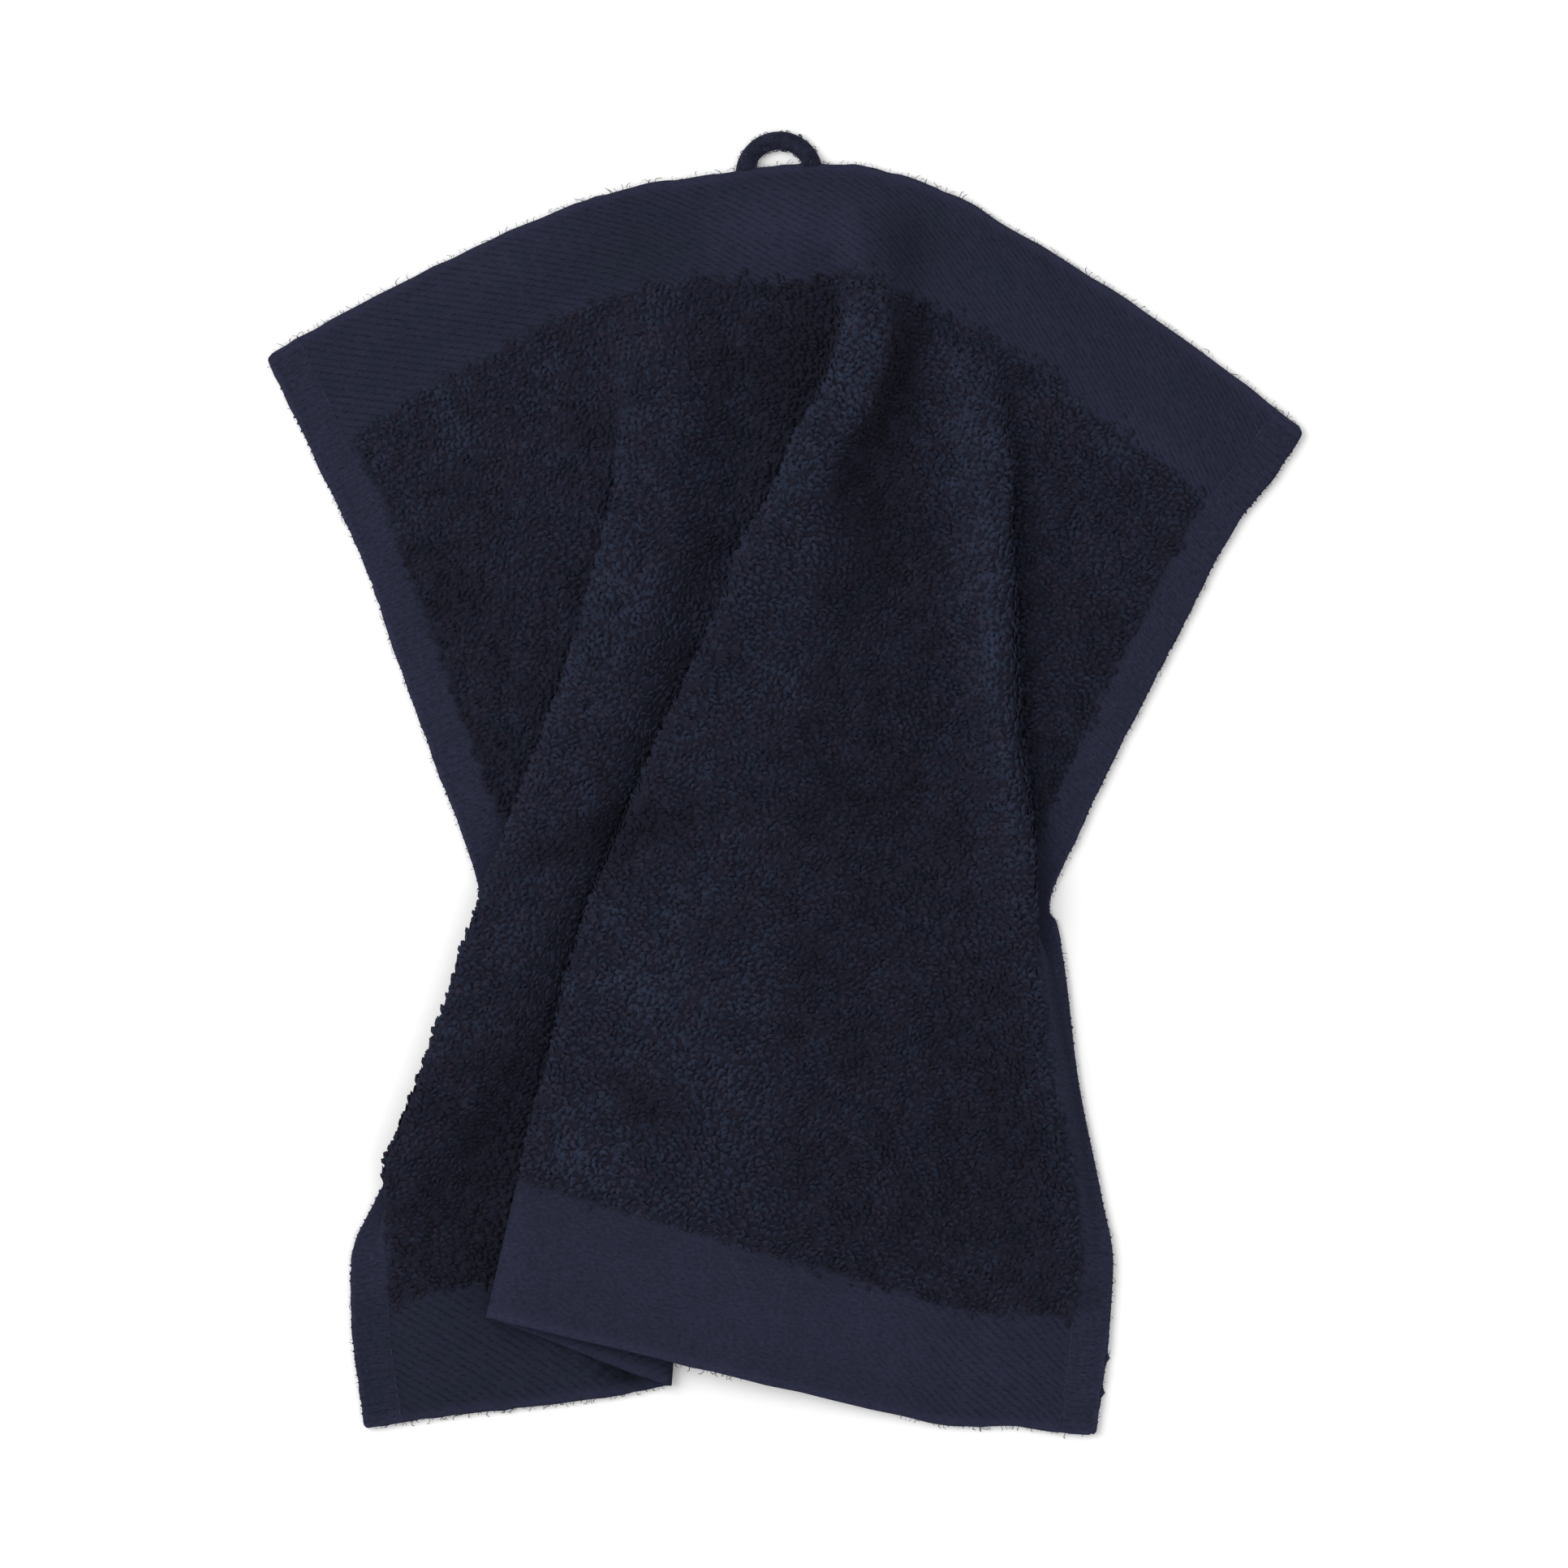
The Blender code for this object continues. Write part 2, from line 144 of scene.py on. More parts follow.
LEFT_FOLD = (
    Fold(0, -34.4, 152.0, -16.0, -4.2, 6.0, 12.0, 0.0),
    Fold(30, -36.5, 126.5, -12.0, -4.0, 8.0, 20.0, 0.8),
    Fold(45, -37.4, 109.6, -8.0, -2.5, 12.0, 24.0, 3.2),
    Fold(60, -39.4, 92.9, -4.0, -1.5, 14.0, 28.0, 5.4),
    Fold(75, -42.4, 76.3, 0.5, -1.0, 16.0, 30.0, 6.6),
    Fold(90, -46.0, 59.8, 7.0, -4.0, 18.0, 32.0, PLEAT),
    Fold(120, -55.1, 27.3, 12.5, -7.0, 20.0, 33.0, PLEAT),
    Fold(150, -66.9, -4.3, 13.5, -7.0, 21.0, 34.0, PLEAT),
    Fold(180, -78.9, -35.8, 13.5, -6.0, 21.0, 34.0, PLEAT),
    Fold(210, -89.6, -67.7, 13.0, -5.0, 20.0, 34.0, PLEAT),
    Fold(228, -97.0, -87.0, 10.0, -3.0, 16.0, 31.0, PLEAT),
    Fold(240, -101.2, -99.6, 4.5, -2.0, 10.0, 25.0, 6.2),
    Fold(250, -100.0, -111.0, -2.0, -0.8, 6.0, 19.0, 3.8),
    Fold(258, -98.0, -119.5, -5.5, -0.6, 5.0, 15.0, 1.4),
    Fold(270, -97.0, -132.0, -5.5, -0.6, 5.0, 12.0, 0.0),
    Fold(300, -93.0, -161.1, -5.5, -0.6, 5.0, 12.0, 0.0),
)
MAIN_FOLD = (
    Fold(0, 19.5, 156.3, -10.0, 0.6, 3.0, 12.5, 0.0),
    Fold(15, 21.8, 143.0, -12.0, 0.5, 4.0, 14.0, 2.4),
    Fold(30, 20.0, 129.6, -8.0, 0.0, 6.5, 16.5, 6.0),
    Fold(45, 17.2, 115.0, -5.5, 0.0, 9.5, 16.0, 8.8),
    Fold(60, 11.4, 100.8, -3.0, 0.5, 10.8, 16.2, 9.8),
    Fold(75, 3.4, 87.0, -0.5, -0.5, 10.5, 19.5, 9.6),
    Fold(90, -3.2, 73.0, 4.0, -1.5, 11.0, 31.0, 8.6),
    Fold(105, -10.8, 59.5, 8.0, -2.5, 17.0, 44.0, 7.4),
    Fold(120, -16.1, 44.9, 13.0, -4.5, 20.0, 50.0, 7.0),
    Fold(150, -28.9, 16.7, 21.0, -7.5, 29.0, 66.0, PLEAT),
    Fold(180, -41.4, -11.8, 30.0, -10.0, 38.0, 84.0, PLEAT),
    Fold(210, -52.5, -41.0, 34.0, -11.5, 47.0, 98.0, PLEAT),
    Fold(240, -59.9, -71.4, 38.0, -13.0, 54.0, 110.0, PLEAT),
    Fold(270, -67.3, -101.6, 41.0, -14.0, 60.0, 118.0, PLEAT),
    Fold(300, -74.9, -134.9, 45.5, -17.5, 62.0, 118.0, 7.4),
)
RIGHT_FOLD = (
    Fold(0, 45.7, 147.7, 9.0, -6.0, 3.0, 6.5, 0.0),
    Fold(30, 47.8, 115.2, 8.0, -4.0, 5.0, 9.5, 1.0),
    Fold(45, 51.9, 99.1, 6.0, -2.0, 6.0, 15.0, 3.6),
    Fold(60, 55.6, 83.0, 3.0, -1.0, 6.5, 16.0, 6.0),
    Fold(75, 56.6, 66.5, -2.0, -1.5, 6.5, 15.0, 6.6),
    Fold(90, 57.2, 49.9, -7.0, -3.0, 6.0, 14.0, PLEAT),
    Fold(120, 58.5, 16.7, -9.0, -4.0, 5.5, 13.0, PLEAT),
    Fold(150, 62.4, -16.2, -8.0, -4.0, 5.5, 14.0, PLEAT),
    Fold(162, 63.2, -28.5, -4.0, -2.5, 5.5, 14.0, 6.4),
    Fold(172, 63.2, -38.5, 0.5, -1.0, 5.0, 14.0, 6.0),
    Fold(182, 63.6, -48.0, 4.4, -1.0, 4.0, 14.0, 5.4),
    Fold(210, 68.6, -75.4, 4.2, -0.8, 3.0, 14.0, 4.6),
    Fold(240, 73.6, -104.9, 4.8, -0.8, 3.0, 14.0, 3.2),
    Fold(255, 75.2, -120.4, 5.0, -0.5, 3.5, 13.0, 1.3),
    Fold(270, 73.6, -137.8, 3.5, -0.5, 4.0, 12.0, 0.0),
    Fold(300, 69.5, -164.2, 2.5, -0.3, 3.0, 9.0, 0.0),
)
BOWS = (
    Bow(0, 2.4, 1.1, 1.0, 3.2),
    Bow(30, 2.6, -1.8, 0.5, 1.6),
    Bow(60, 0.6, 0.0, 0.0, 0.6),
    Bow(150, 0.0, 0.0, -0.6, 0.0),
    Bow(270, 0.0, 0.0, -2.6, 0.0),
    Bow(300, -0.4, -1.0, -2.8, 0.0),
)
SWELLS = (
    Swell(8.0, 142.0, 32.0, 15.0, 4.0, 3.4),
    Swell(-70.0, 127.0, 30.0, 12.0, 28.0, 2.8),
    Swell(66.0, 118.0, 26.0, 10.0, -32.0, 1.6),
    Swell(98.0, 84.0, 22.0, 10.0, -35.0, 1.0),
    Swell(-96.0, 74.0, 20.0, 12.0, -60.0, 0.8),
    Swell(-14.0, 40.0, 30.0, 9.0, 66.0, 0.9),
    Swell(-22.0, -60.0, 42.0, 22.0, 78.0, 1.6),
    Swell(-86.0, -120.0, 18.0, 12.0, 70.0, 0.9),
    Swell(-42.0, 137.0, 14.0, 8.0, 60.0, -0.8),
    Swell(-40.0, -11.0, 30.0, 6.0, 10.0, -1.0),
    Swell(-37.0, -79.0, 24.0, 5.0, -45.0, -0.9),
)
# Painted light and shade: ovals where the band and the pile are coloured lighter or darker, with shares in
# place of heights.
PAINTED_LIGHT_AND_SHADE = (
    Swell(0.0, 140.0, 26.0, 15.0, 0.0, 0.13),
    Swell(15.0, 137.0, 9.0, 15.0, 0.0, 0.12),
    Swell(-36.0, 136.0, 22.0, 16.0, 30.0, -0.16),
    Swell(32.0, 136.0, 14.0, 15.0, -30.0, -0.19),
    Swell(-96.0, 108.0, 34.0, 14.0, 32.0, -0.06),
    Swell(2.0, 106.0, 17.0, 12.0, 60.0, -0.22),
    Swell(-98.0, 82.0, 22.0, 16.0, -60.0, 0.12),
    Swell(-82.0, 44.0, 26.0, 14.0, -65.0, -0.22),
    Swell(88.0, 84.0, 26.0, 14.0, -35.0, 0.12),
    Swell(-40.0, -13.0, 36.0, 10.0, 12.0, -0.56),
    Swell(24.0, 102.0, 24.0, 9.0, 75.0, 0.10),
    Swell(-18.0, 126.5, 7.0, 1.6, -8.0, -0.50),
    Swell(-34.0, -82.0, 26.0, 7.0, -42.0, -0.42),
    Swell(-38.0, -54.0, 17.0, 14.0, 0.0, 0.22),
    Swell(-14.0, -76.0, 16.0, 10.0, -50.0, 0.20),
    Swell(-52.0, -94.0, 14.0, 10.0, 0.0, 0.22),
    Swell(-76.0, -108.0, 30.0, 16.0, 74.0, -0.24),
    Swell(52.0, -98.0, 32.0, 18.0, 80.0, -0.20),
    Swell(12.0, -138.0, 95.0, 20.0, -13.0, 0.08),
    Swell(-69.0, -117.0, 20.0, 5.0, 78.0, 0.20),
    Swell(77.0, -130.0, 8.0, 5.0, 60.0, -0.24),
    Swell(-42.0, -149.6, 12.0, 2.8, -23.0, -0.60),
)
# The spans of a section that the open-pile and painted light shares of each row belong to.
NAP_STATIONS = (2.0, 11.0, 13.5, 16.0, 19.5, 24.0, 26.0, 27.0, 27.3, 30.0, 33.5, 37.0, 45.0)
# Shares of open pile, which also paint the loops lighter where light falls on the folds and darker where it
# misses them.
NAP_AND_PAINTED_LIGHT = (
    NapAndPaintedLight(30, 0.43, 0.44, 0.38, 0.16, 0.12, 0.60, 0.60, 0.30, 0.15, 0.25, 0.50, 0.50, 0.42),
    NapAndPaintedLight(45, 0.34, 0.46, 0.31, 0.07, 0.04, 0.72, 0.74, 0.30, 0.05, 0.24, 0.68, 0.60, 0.36),
    NapAndPaintedLight(60, 0.31, 0.51, 0.36, 0.06, 0.02, 0.74, 0.79, 0.34, 0.04, 0.20, 0.74, 0.66, 0.30),
    NapAndPaintedLight(90, 0.28, 0.63, 0.41, 0.18, 0.08, 0.61, 0.71, 0.56, 0.14, 0.16, 0.74, 0.70, 0.31),
    NapAndPaintedLight(120, 0.18, 0.59, 0.38, 0.15, 0.05, 0.51, 0.54, 0.50, 0.18, 0.22, 0.64, 0.70, 0.27),
    NapAndPaintedLight(150, 0.17, 0.53, 0.37, 0.18, 0.06, 0.46, 0.42, 0.40, 0.20, 0.24, 0.44, 0.72, 0.22),
    NapAndPaintedLight(180, 0.26, 0.44, 0.36, 0.20, 0.08, 0.46, 0.48, 0.44, 0.24, 0.28, 0.30, 0.72, 0.36),
    NapAndPaintedLight(210, 0.30, 0.30, 0.26, 0.16, 0.06, 0.44, 0.56, 0.56, 0.28, 0.30, 0.26, 0.74, 0.38),
    NapAndPaintedLight(240, 0.30, 0.22, 0.18, 0.12, 0.05, 0.44, 0.50, 0.54, 0.30, 0.28, 0.22, 0.76, 0.38),
    NapAndPaintedLight(262, 0.30, 0.20, 0.16, 0.08, 0.05, 0.46, 0.56, 0.52, 0.30, 0.26, 0.22, 0.66, 0.38),
)


def smooth_step(value: np.ndarray) -> np.ndarray:
    """0 below 0, 1 above 1, and an S curve between."""
    t = np.clip(value, 0.0, 1.0)
    return t * t * (3.0 - 2.0 * t)


def unit(vectors: np.ndarray) -> np.ndarray:
    """The directions of an array of vectors, whose last axis is x, y and z."""
    return vectors / np.maximum(np.linalg.norm(vectors, axis=-1, keepdims=True), 1e-9)


@dataclass(frozen=True)
class SoftNoise:
    """Smooth random values from -`amount` to `amount` over the plane, the same on every run."""
    cell: float
    seed: int
    amount: float = 1.0
    cells: int = 256
    shift: float = 512.0

    def at(self, x: np.ndarray, y: np.ndarray) -> np.ndarray:
        """The value at each point.

        Args:
            x: Places across, in mm.
            y: Places up, in mm.

        Returns:
            One value for each point.
        """
        values = np.random.default_rng(self.seed).uniform(-1.0, 1.0, (self.cells, self.cells))
        across, up = np.asarray(x) / self.cell + self.shift, np.asarray(y) / self.cell + self.shift
        column, row = np.floor(across).astype(int), np.floor(up).astype(int)
        s, t = smooth_step(across - column), smooth_step(up - row)
        near, far = row % self.cells, (row + 1) % self.cells
        left, right = column % self.cells, (column + 1) % self.cells
        return self.amount * (
            values[near, left] * (1 - s) * (1 - t) + values[near, right] * s * (1 - t)
            + values[far, left] * (1 - s) * t + values[far, right] * s * t
        )


class Sheet(NamedTuple):
    """Rows of points over the cloth's middle surface, with where each is in the cloth."""
    points: np.ndarray
    across: np.ndarray
    down: np.ndarray
    from_side: np.ndarray
    from_end: np.ndarray
    thickness: np.ndarray
    nap: np.ndarray
    painted_light_and_shade: np.ndarray

    def frames(self) -> tuple[np.ndarray, np.ndarray, np.ndarray]:
        """The directions across the cloth, down it and out of its face, at each point."""
        across = unit(np.gradient(self.points, axis=1))
        down = unit(np.gradient(self.points, axis=0))
        return across, down, unit(np.cross(down, across))

    def spots(self, places: list[np.ndarray]) -> "Spots":
        """Find places on the cloth's face.

        Args:
            places: For each row, the distances from its left end, in mm.

        Returns:
            Where they are, and which way the cloth lies there.
        """
        table = np.concatenate(
            (self.points, *self.frames(), self.nap[..., None], self.from_side[..., None]), axis=2
        )
        found = [
            np.stack([np.interp(at, run, column) for column in row.T], axis=1)
            for at, run, row in zip(places, self.across, table)
        ]
        values = np.concatenate(found)
        up = unit(values[:, 9:12])
        right = unit(values[:, 3:6] - up * np.sum(values[:, 3:6] * up, axis=1, keepdims=True))
        return Spots(
            root=values[:, 0:3], right=right, ahead=np.cross(up, right), up=up, nap=values[:, 12],
            run=np.concatenate(places), down=np.repeat(self.down[:, 0], [len(at) for at in places]),
            from_side=values[:, 13],
        )


class Spots(NamedTuple):
    """Places on the cloth's face: where each is, the directions there, and where it is in the cloth."""
    root: np.ndarray
    right: np.ndarray
    ahead: np.ndarray
    up: np.ndarray
    nap: np.ndarray
    run: np.ndarray
    down: np.ndarray
    from_side: np.ndarray

    def only(self, which: np.ndarray) -> "Spots":
        """The places that a mask picks."""
        return Spots(*(values[which] for values in self))

    def underneath(self) -> "Spots":
        """The same places on the cloth's underside."""
        return self._replace(up=-self.up, ahead=-self.ahead)


@dataclass(frozen=True)
class Lay:
    """The way the cloth lies: its sections from the top edge down, each run across it from left to right."""
    length: float = 300.0
    band: float = 30.0
    side_hem: float = 10.0
    pile_step: float = 6.0
    flat_tuck: float = 6.0
    turn_start: tuple[float, float] = (1.67, 1.15)
    turn_tip: tuple[float, float] = (-0.08, 0.75)
    left_wing_shares: tuple[float, ...] = (0.12, 0.45, 0.85)
    middle_shares: tuple[float, ...] = (0.5, 0.88)
    front_shares: tuple[float, ...] = (0.33, 0.67)
    right_wing_shares: tuple[float, ...] = (0.15, 0.55, 0.88)
    inner_shoulder: float = 0.8
    fold_spans: int = 11
    wing_steps: int = 2
    fold_steps: int = 1
    middle_steps: int = 2
    front_steps: int = 3

    def span_steps(self, finer: int) -> tuple[int, ...]:
        """The number of mesh columns in each span of a section.

        Args:
            finer: How many times finer than the plain solid the columns are.

        Returns:
            One number for each span, from the left selvedge to the right.
        """
        fold = (self.fold_steps * finer,) * self.fold_spans
        wing = (self.wing_steps * finer,) * 4
        middle, front = (self.middle_steps * finer,) * 3, (self.front_steps * finer,) * 3
        return wing + fold + middle + fold + front + fold + wing

    @staticmethod
    def along(table: tuple, down: np.ndarray) -> np.ndarray:
        """Every column of a table at each distance down the cloth, on a smooth curve through its rows.

        Args:
            table: Rows whose first value is the distance down.
            down: Distances from the top edge, in mm.

        Returns:
            One row of values for each distance.
        """
        rows = np.array(table, dtype=float)
        at, values = rows[:, 0], rows[:, 1:]
        chord = np.diff(values, axis=0) / np.diff(at)[:, None]
        slope = np.vstack((chord[:1], (chord[1:] + chord[:-1]) / 2.0, chord[-1:]))
        slope[1:-1][chord[1:] * chord[:-1] <= 0.0] = 0.0
        span = np.clip(np.searchsorted(at, down, side="right") - 1, 0, len(at) - 2)
        length = (at[span + 1] - at[span])[:, None]
        t = (down - at[span])[:, None] / length
        return (
            (2 * t**3 - 3 * t**2 + 1) * values[span] + (t**3 - 2 * t**2 + t) * length * slope[span]
            + (3 * t**2 - 2 * t**3) * values[span + 1] + (t**3 - t**2) * length * slope[span + 1]
        )

    @staticmethod
    def raised(plan: np.ndarray, height: np.ndarray | float) -> np.ndarray:
        """Plan points with a height each."""
        return np.column_stack((plan, np.broadcast_to(height, len(plan))))

    def hairpin(
        self, tip: np.ndarray, below: np.ndarray, above: np.ndarray, low: np.ndarray, high: np.ndarray
    ) -> list[np.ndarray]:
        """Four shaping points of a half-round turn with its tip at `tip`.

        Args:
            tip: The turn's tip in plan.
            below: The way the lower layer runs off.
            above: The way the upper layer runs off.
            low: Height of the lower layer.
            high: Height of the upper layer.

        Returns:
            The points, from the lower layer to the upper one.
        """
        radius, middle = (high - low) / 2, (high + low) / 2
        start, bulge = self.turn_start[0] * radius[:, None], self.turn_tip[0] * radius[:, None]
        start_height, tip_height = self.turn_start[1] * radius, self.turn_tip[1] * radius
        return [
            self.raised(tip + below * start, np.maximum(middle - start_height, 0.0)),
            self.raised(tip + below * bulge, middle - tip_height),
            self.raised(tip + above * bulge, middle + tip_height),
            self.raised(tip + above * start, middle + start_height),
        ]

    def fold_points(self, fold: np.ndarray, home: np.ndarray, onward: np.ndarray) -> list[np.ndarray]:
        """The shaping points of a fold: from the floor up to its crest, over it and down again.

        Args:
            fold: The fold's sections, without their distances down.
            home: Plan points that the lowest layer comes from.
            onward: The way the top layer runs from the crest.

        Returns:
            The points of each section, in order.
        """
        crest, valley = fold[:, 0:2], fold[:, 0:2] + fold[:, 2:4]
        width, reach, rise = fold[:, 4:5], fold[:, 5:6], fold[:, 6]
        laid = smooth_step(np.sum(fold[:, 2:4] * onward, axis=1) / self.flat_tuck)[:, None]
        back = unit(valley - crest)
        pleat = self.hairpin(valley, unit(home - valley), -back, np.zeros(len(rise)), rise / 2)
        pleat += self.hairpin(crest, back, onward, rise / 2, rise)
        points = []
        for share, turned in zip(np.linspace(0.0, 1.0, len(pleat)), pleat):
            ridge = self.raised(valley + (crest - valley) * share, rise * smooth_step(share))
            points.append(ridge + (turned - ridge) * laid)
        points.append(self.raised(crest + onward * width * self.inner_shoulder, rise))
        points.append(self.raised(crest + onward * width, rise))
        points.append(self.raised(crest + onward * (width + reach) / 2, rise / 2))
        points.append(self.raised(crest + onward * reach, 0.0))
        return points

    def panel_points(
        self, start: np.ndarray, end: np.ndarray, bow: np.ndarray | float, shares: tuple[float, ...]
    ) -> list[np.ndarray]:
        """Shaping points of a panel that lies on the floor.

        Args:
            start: Plan points that it starts from.
            end: Plan points that it runs to.
            bow: How far its middle lies off the straight line, along Y.
            shares: Where the points are, as shares of the way.

        Returns:
            The points of each section, in order.
        """
        points = []
        for share in shares:
            plan = start + (end - start) * share
            plan[:, 1] += 4.0 * share * (1.0 - share) * bow
            points.append(self.raised(plan, 0.0))
        return points

    def section_points(self, down: np.ndarray) -> np.ndarray:
        """The shaping points of the sections.

        Args:
            down: The sections' distances from the top edge, in mm.

        Returns:
            A row of points for each section, from the left selvedge to the right.
        """
        left, right = (self.along(table, down)[:, 0:2] for table in (LEFT_EDGE, RIGHT_EDGE))
        bow = self.along(BOWS, down)
        fold_l, fold_m, fold_r = (self.along(table, down) for table in (LEFT_FOLD, MAIN_FOLD, RIGHT_FOLD))
        valley_l, valley_m, valley_r = (fold[:, 0:2] + fold[:, 2:4] for fold in (fold_l, fold_m, fold_r))
        across = fold_r[:, 0:2] - fold_m[:, 0:2]
        sag = np.column_stack((np.zeros(len(down)), 2.0 * bow[:, 2]))
        points_l = self.fold_points(fold_l, left, unit(valley_m - fold_l[:, 0:2]))
        points_m = self.fold_points(fold_m, points_l[-1][:, 0:2], unit(sag + across))
        points_r = self.fold_points(fold_r, right, unit(sag - across))[::-1]
        return np.stack((
            self.raised(left, 0.0),
            *self.panel_points(left, valley_l, bow[:, 0], self.left_wing_shares),
            *points_l,
            *self.panel_points(points_l[-1][:, 0:2], valley_m, bow[:, 1], self.middle_shares),
            *points_m,
            *self.panel_points(points_m[-1][:, 0:2], points_r[0][:, 0:2], 0.0, self.front_shares),
            *points_r,
            *self.panel_points(valley_r, right, bow[:, 3], self.right_wing_shares),
            self.raised(right, 0.0),
        ), axis=1)

    def rounded(self, points: np.ndarray, finer: int) -> np.ndarray:
        """A smooth curve for each row of shaping points.

        Args:
            points: The rows of points.
            finer: How many times finer than the plain solid the curve is.

        Returns:
            A row of points on each curve.
        """
        steps = self.span_steps(finer)
        before, after = 2 * points[:, :1] - points[:, 1:2], 2 * points[:, -1:] - points[:, -2:-1]
        padded = np.concatenate((before, points, after), axis=1)
        span = np.repeat(np.arange(len(steps)), steps)
        t = np.concatenate([np.arange(count) / count for count in steps])[:, None]
        weights = ((1 - t)**3, 3 * t**3 - 6 * t**2 + 4, -3 * t**3 + 3 * t**2 + 3 * t + 1, t**3)
        curve = sum(weight * padded[:, span + i] for i, weight in enumerate(weights)) / 6
        return np.concatenate((curve, points[:, -1:]), axis=1)

    @staticmethod
    def swell_height(plan: np.ndarray, swells: tuple[Swell, ...]) -> np.ndarray:
        """How far swells lift the cloth.

        Args:
            plan: Plan points.
            swells: The swells.

        Returns:
            One height for each point.
        """
        height = np.zeros(plan.shape[:-1])
        for swell in swells:
            turn = math.radians(swell.turn)
            across, up = plan[..., 0] - swell.x, plan[..., 1] - swell.y
            along_it = (across * math.cos(turn) + up * math.sin(turn)) / swell.half_length
            beside_it = (up * math.cos(turn) - across * math.sin(turn)) / swell.half_width
            height += swell.height * np.clip(1.0 - along_it**2 - beside_it**2, 0.0, None)**2
        return height

    def sheet(self, down: np.ndarray, finer: int) -> Sheet:
        """The cloth's middle surface at rows of the given distances down.

        Args:
            down: Distances from the top edge, in mm.
            finer: How many times finer than the plain solid the columns are.

        Returns:
            The points in mm, and their places in the cloth.
        """
        points = self.rounded(self.section_points(down), finer)
        run = np.linalg.norm(np.diff(points, axis=1), axis=2).cumsum(axis=1)
        run = np.concatenate((np.zeros((len(run), 1)), run), axis=1)
        from_side = np.minimum(run, run[:, -1:] - run + self.along(RIGHT_EDGE, down)[:, 2:3])
        from_end = np.broadcast_to(np.minimum(down, self.length - down)[:, None], run.shape)
        end_pile = smooth_step((from_end - self.band) / self.pile_step)
        pile = end_pile * smooth_step((from_side - self.side_hem) / self.pile_step)
        thickness = FLAT_THICKNESS + (TERRY_THICKNESS - FLAT_THICKNESS) * pile
        layer = FLAT_THICKNESS + (TERRY_THICKNESS - FLAT_THICKNESS) * end_pile + LAYER_GAP
        points[..., 2] *= layer / (TERRY_THICKNESS + LAYER_GAP)
        points[..., 2] += thickness / 2 + self.swell_height(points[..., 0:2], SWELLS)
        points[..., 2] = np.maximum(points[..., 2], thickness / 2)
        down_all = np.broadcast_to(down[:, None], run.shape)
        # Painted light and shade of the folds; on the pile it also adds to the open-pile share.
        painted_light_and_shade = self.swell_height(points[..., 0:2], PAINTED_LIGHT_AND_SHADE)
        nap = self.nap(down, finer) + painted_light_and_shade
        return Sheet(points, run, down_all, from_side, from_end, thickness, nap, painted_light_and_shade)

    def nap(self, down: np.ndarray, finer: int) -> np.ndarray:
        """How far the pile lies open, and how much painted light or shade it takes.

        Args:
            down: Distances from the top edge, in mm.
            finer: How many times finer than the plain solid the columns are.

        Returns:
            A row of shares for each distance, one for each point of the sheet.
        """
        steps = self.span_steps(finer)
        span = np.repeat(np.arange(len(steps)), steps)
        place = span + np.concatenate([np.arange(count) / count for count in steps])
        place = np.append(place, len(steps))
        values = self.along(NAP_AND_PAINTED_LIGHT, np.clip(down, NAP_AND_PAINTED_LIGHT[0].down, NAP_AND_PAINTED_LIGHT[-1].down))
        return np.stack([np.interp(place, NAP_STATIONS, row) for row in values])


# --- finishes -------------------------------------------------------------------------------------------------
@dataclass(frozen=True)
class Signal:
    """A number from a node's output, for use in Python arithmetic."""
    bench: "NodeBench"
    socket: bpy.types.NodeSocket

    def __add__(self, other: "Signal | float") -> "Signal":
        """This and another, added."""
        return self.bench.maths("ADD", self, other)

    def __radd__(self, other: float) -> "Signal":
        """Another and this, added."""
        return self.bench.maths("ADD", other, self)

    def __sub__(self, other: "Signal | float") -> "Signal":
        """This less another."""
        return self.bench.maths("SUBTRACT", self, other)

    def __rsub__(self, other: float) -> "Signal":
        """Another less this."""
        return self.bench.maths("SUBTRACT", other, self)

    def __mul__(self, other: "Signal | float") -> "Signal":
        """This times another."""
        return self.bench.maths("MULTIPLY", self, other)

    def __rmul__(self, other: float) -> "Signal":
        """Another times this."""
        return self.bench.maths("MULTIPLY", other, self)

    def __truediv__(self, other: "Signal | float") -> "Signal":
        """This over another."""
        return self.bench.maths("DIVIDE", self, other)

    def part(self) -> "Signal":
        """What is left of this over its whole number."""
        return self.bench.maths("FRACT", self)

    def whole(self) -> "Signal":
        """The whole number below this."""
        return self.bench.maths("FLOOR", self)

    def size(self) -> "Signal":
        """This without its sign."""
        return self.bench.maths("ABSOLUTE", self)

    def wave(self) -> "Signal":
        """The sine of this many turns."""
        return self.bench.maths("SINE", self * math.tau)

    def rise(self, low: float, high: float) -> "Signal":
        """Ease this from 0 to 1.

        Args:
            low: The value below which the result is 0.
            high: The value above which it is 1, with an S curve between.

        Returns:
            The eased value.
        """
        node = self.bench.node(
            "ShaderNodeMapRange", {"interpolation_type": "SMOOTHSTEP", "clamp": True},
            {"Value": self, "From Min": low, "From Max": high, "To Min": 0.0, "To Max": 1.0},
        )
        return Signal(self.bench, node.outputs["Result"])


